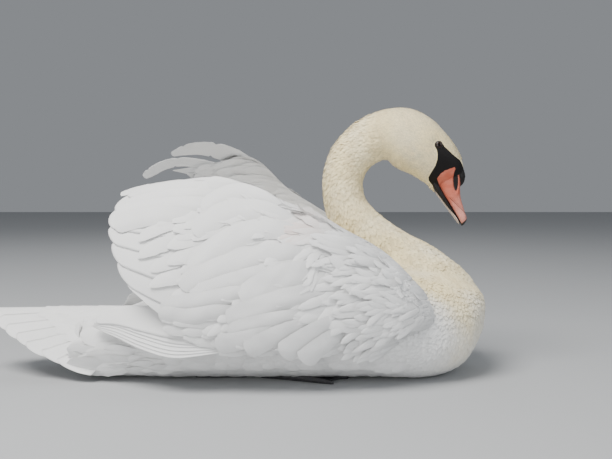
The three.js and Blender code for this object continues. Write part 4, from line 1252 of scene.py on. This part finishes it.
def buildBill():
    horn = hornMaterial("billHorn", 0.46, 0.25, 0.24)
    billHalf("billUpper", "upper", 190, 120, sculptUpper, horn, "bill", "bill_upper", "bill_nail")
    billHalf("billLower", "lower", 170, 100, lambda *place: place, horn, "black_horn", "bill_lower")
    # the knob: a wrinkled egg on the sloping ridge, which sinks into forehead and bill
    t, a = loopGrid(60, 64, 0.02, 0.98)
    belt = np.sin(np.pi * t)
    egg = np.stack([np.cos(np.pi * t), belt * np.cos(a), belt * np.sin(a)], -1)
    grain = 1 + 0.018 * wobble(egg * 10, 5, 41) + 0.012 * wobble(egg * 10, 2.1, 42)
    egg = egg * grain[..., None] * np.array(knob["size"])
    along, height = turned(egg[..., 0], egg[..., 2], knob["tilt"])
    flat, triangles = closeTube(billPoint(knob["place"][0] + along, egg[..., 1], knob["place"][1] + height))
    tint = np.repeat(colours["dark"][None] * 1.3, len(flat), 0)
    finished(makeMesh("billKnob", flat, triangles, hornMaterial("knobSkin", 0.5, 0.5, 0.2), tint), "black_horn",
             "bill_knob")


bareFace = {"from": 0.74, "rows": 150, "columns": 420, "rise": 0.4, "rounding": 14, "lift": 0.25}


def buildFace():
    # the bare skin of lores and eye rings: a fine sheet drawn from the neck's own surface, settled on the skin,
    # evened out along its grid and kept only where the black mask, a little widened, holds
    t, a = loopGrid(bareFace["rows"], bareFace["columns"], bareFace["from"], 0.998)
    settled = settle(neckSurface(t, a).reshape(-1, 3), bareFace["rise"])
    sheet, normal = (part.reshape(t.shape + (3,)) for part in settled)
    for _ in range(bareFace["rounding"]):
        around = (np.roll(sheet, 1, 1) + np.roll(sheet, -1, 1)) / 2
        ends = sheet.copy()
        ends[1:-1] = (sheet[2:] + sheet[:-2]) / 2
        sheet = (2 * sheet + around + ends) / 4
    points, normal = (sheet + bareFace["lift"] * normal).reshape(-1, 3), normal.reshape(-1, 3)
    quads = gridFaces(*t.shape, wrap=True)
    quads = quads[(loreMask(points, 1.5) > 0.5)[quads].all(1)]
    used, packed = np.unique(quads, return_inverse=True)
    points, quads = points[used], packed.reshape(-1, 4)
    w, x, y = (points[quads[:, i]] for i in range(3))
    if (np.cross(x - w, y - w) * normal[used][quads[:, 0]]).sum() < 0:
        quads = quads[:, ::-1]
    material = hornMaterial("bareSkin", 0.55, 0.3, 0.1)
    finished(makeMesh("faceSkin", points, quads, material, plumage(points)), "black_horn")


lids = {"rows": 96, "columns": 20, "halfWidth": 5.7, "halfHeight": 4.9, "tilt": math.radians(-24)}


def buildEyes():
    # each eye is a flattened ball with a faint ring for the iris, in a swollen almond ring of lids
    material, tree, shader = newMaterial("eyeball", 0.09, **{"Specular IOR Level": 0.3})
    paintTint(tree, shader)
    lidMaterial = hornMaterial("lidSkin", 0.6, 0.6)
    for side, name in ((1, "left"), (-1, "right")):
        centre = eyeCentre(side)
        t, a = loopGrid(40, 48, 0.01, 0.99)
        belt = np.sin(np.pi * t)
        ball = np.stack([belt * np.cos(a), side * np.cos(np.pi * t), belt * np.sin(a)], -1)
        flat, triangles = closeTube(centre + ball * eyes["radius"] * np.array([1, eyes["flatness"], 1]))
        away = np.linalg.norm((flat - centre)[:, [0, 2]], axis=1)
        iris = (fadeIn(away, 2.4, 2.9) * (1 - fadeIn(away, 4.8, 5.2)))[:, None]
        tint = blend(colours["pupil"], colours["iris"], iris)
        finished(makeMesh("eye" + name.capitalize(), flat, triangles, material, tint), "eye", "eye_" + name)
        rows, columns = lids["rows"], lids["columns"]
        t, a = np.meshgrid(np.arange(rows) * fullTurn / rows, np.arange(columns) * fullTurn / columns, indexing="ij")
        fat = 1.15 + 0.25 * np.sin(t)
        out = fat * np.cos(a)
        x = (lids["halfWidth"] + out) * np.cos(t)
        z = (lids["halfHeight"] * (1 - 0.12 * np.cos(2 * t)) + out) * np.sin(t)
        y = side * (1.5 + fat * np.sin(a) - 0.72 * np.cos(t) ** 2)
        x, z = turned(x, z, lids["tilt"])
        points = (centre + np.stack([x, y, z], -1)).reshape(-1, 3)
        quads = gridFaces(rows + 1, columns, wrap=True) % (rows * columns)
        if isInsideOut(points, splitQuads(quads)):
            quads = quads[:, ::-1]
        tint = np.repeat(colours["lid"][None], len(points), 0)
        finished(makeMesh("lid" + name.capitalize(), points, quads, lidMaterial, tint), "black_horn")


laidRoots = []  # where vanes are rooted so far, for the coats that fill gaps
plumes = {"body_plumage": plumeMaterial("whitePlumage", 0.72, 0.25, 0.05, 30),
          "neck_plumage": plumeMaterial("creamPlumage", 0.8, 0.2, 0.16, 120)}
skinPiece = buildSkin()
finished(skinPiece, "body_plumage", "trunk", "neck_lower", "neck_middle", "neck_upper", "head",
         "wing_left_coverts", "wing_right_coverts")

coatTrunk()
coatVent()
coatNeck("neckCoat", 0.27, neck["headFrom"], 10.5, neckCoat, 21)
coatChin()
coatNeck("headCoat", neck["headFrom"], 0.985, 5.2, headCoat, 25)
overNeck = lambda x, y, z: (x > 70) & (z < 275) & (x + z > 300) & (np.abs(y) < 75)
fillCoat("neckBaseCoat", "neck_plumage", neckCoat, lambda x, y, z: overNeck(x, y, z) & (z > 172), 4.3, breastFlow,
         12, 28)
fillCoat("breastCoat", "neck_plumage", dict(neckCoat, lift=0.16, rootShade=0.86, shade=0.05),
         lambda x, y, z: (x > 70) & (z > 5) & (z < 275) & ((x > 146) | overNeck(x, y, z)), 4.3, breastFlow, 12, 27)

for wingName, wing in wings.items():
    label, nodes = "wing" + wingName.capitalize(), "wing_" + wingName
    seed = 31 if wingName == "right" else 41
    coatWing(label, wing, seed)
    coatArm(label + "Rim", wing, seed + 4)
    coatCrest(label + "Crest", wing, seed + 11)
    lobeVanes(label + "Lobes", wing, seed + 6)
    fanVanes(label + "Secondaries", nodes + "_secondaries", wing, seed + 7)
    primaryVanes(label + "Primaries", nodes + "_primaries", wing, seed + 8)
print("wings done")
fillCoat("shoulderCoat", "body_plumage", armCoat,
         lambda x, y, z: (x < 225) & (x > -290) & (z > 8) & (z < 260) & ((x > 70) | (np.abs(y) < 150) & (z < 215)),
         8, lambda p: np.array([-1, 0, 0.1]) + 0 * p, 26, 57)
fillCoat("ventCoat", "body_plumage", dict(armCoat, lift=0.12, bodyRadius=90), lambda x, y, z: (x < -282) & (z > 2),
         6.5, lambda p: np.array([-0.4, 0, 0.9]) + 0 * p, 24, 59, facing=-2)
for name, (wingName, node, line) in tertials.items():
    tertialVane("tertial" + name, node, wings[wingName], line, 51)
tailVanes()
coatTail("tailCoverts", (-0.05, 0.42), (2.4, 0.2), 0.32, 77)
coatTail("tailUnderCoverts", (0.0, 0.36), (3.5, 9.0), 0.34, 19)
print("tail done")

buildBill()
buildFace()
buildEyes()
footSkin = footMaterial()
for name in ("leg_left", "leg_right", "foot_left", "foot_right"):
    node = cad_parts[name]
    node.data.materials.clear()
    node.data.materials.append(footSkin)
print("head and feet done")


studio = {
    "floorSize": 14, "skyStrength": 0.42, "aim": (0.0, 0.0, 0.18),
    # place, size, power and colour of each lamp
    "keyLight": ((-0.9, -1.3, 2.5), 1.7, 134, (1.0, 0.98, 0.95)),
    "fillLight": ((2.2, -1.2, 1.2), 2.0, 20, (0.92, 0.96, 1.0)),
    "lowLight": ((-0.9, -2.8, 0.5), 1.6, 40, (1.0, 0.99, 0.97)),
    "backLight": ((-0.6, 2.2, 2.4), 2.0, 14, (0.95, 0.97, 1.0)),
}
camera = {"focalPixels": 889, "widthPixels": 612, "sensor": 36, "place": (0.0256, -1.42, 0.305), "tilt": 3.2}


def buildStudio():
    material, tree, shader = newMaterial("paleFloor", 0.9, **{"Specular IOR Level": 0.1})
    shader.inputs["Base Color"].default_value = (0.42, 0.43, 0.44, 1)
    h = studio["floorSize"] / 2 / mm
    points = np.array([[-h, -h, 0], [h, -h, 0], [h, h, 0], [-h, h, 0]])
    makeMesh("floor", points, np.array([[0, 1, 2, 3]]), material, smooth=False)
    for name in ("keyLight", "fillLight", "lowLight", "backLight"):
        place, size, watts, colour = studio[name]
        light = bpy.data.lights.new(name, "AREA")
        light.shape, light.size, light.energy, light.color = "DISK", size, watts, colour
        lamp = bpy.data.objects.new(name, light)
        lamp.location = place
        aim = np.array(studio["aim"]) - np.array(place)
        lamp.rotation_euler = (math.atan2(math.hypot(aim[0], aim[1]), -aim[2]), 0,
                               math.atan2(aim[1], aim[0]) - math.pi / 2)
        bpy.context.scene.collection.objects.link(lamp)
    world = bpy.data.worlds.new("studioSky")
    world.use_nodes = True
    background = world.node_tree.nodes["Background"]
    background.inputs["Color"].default_value = (0.60, 0.63, 0.67, 1)
    background.inputs["Strength"].default_value = studio["skyStrength"]
    bpy.context.scene.world = world
    lens = bpy.data.cameras.new("camera")
    lens.sensor_width = camera["sensor"]
    lens.lens = camera["focalPixels"] / camera["widthPixels"] * camera["sensor"]
    eye = bpy.data.objects.new("camera", lens)
    eye.location = camera["place"]
    eye.rotation_euler = (math.radians(90 - camera["tilt"]), 0, 0)
    bpy.context.scene.collection.objects.link(eye)
    bpy.context.scene.camera = eye


buildStudio()
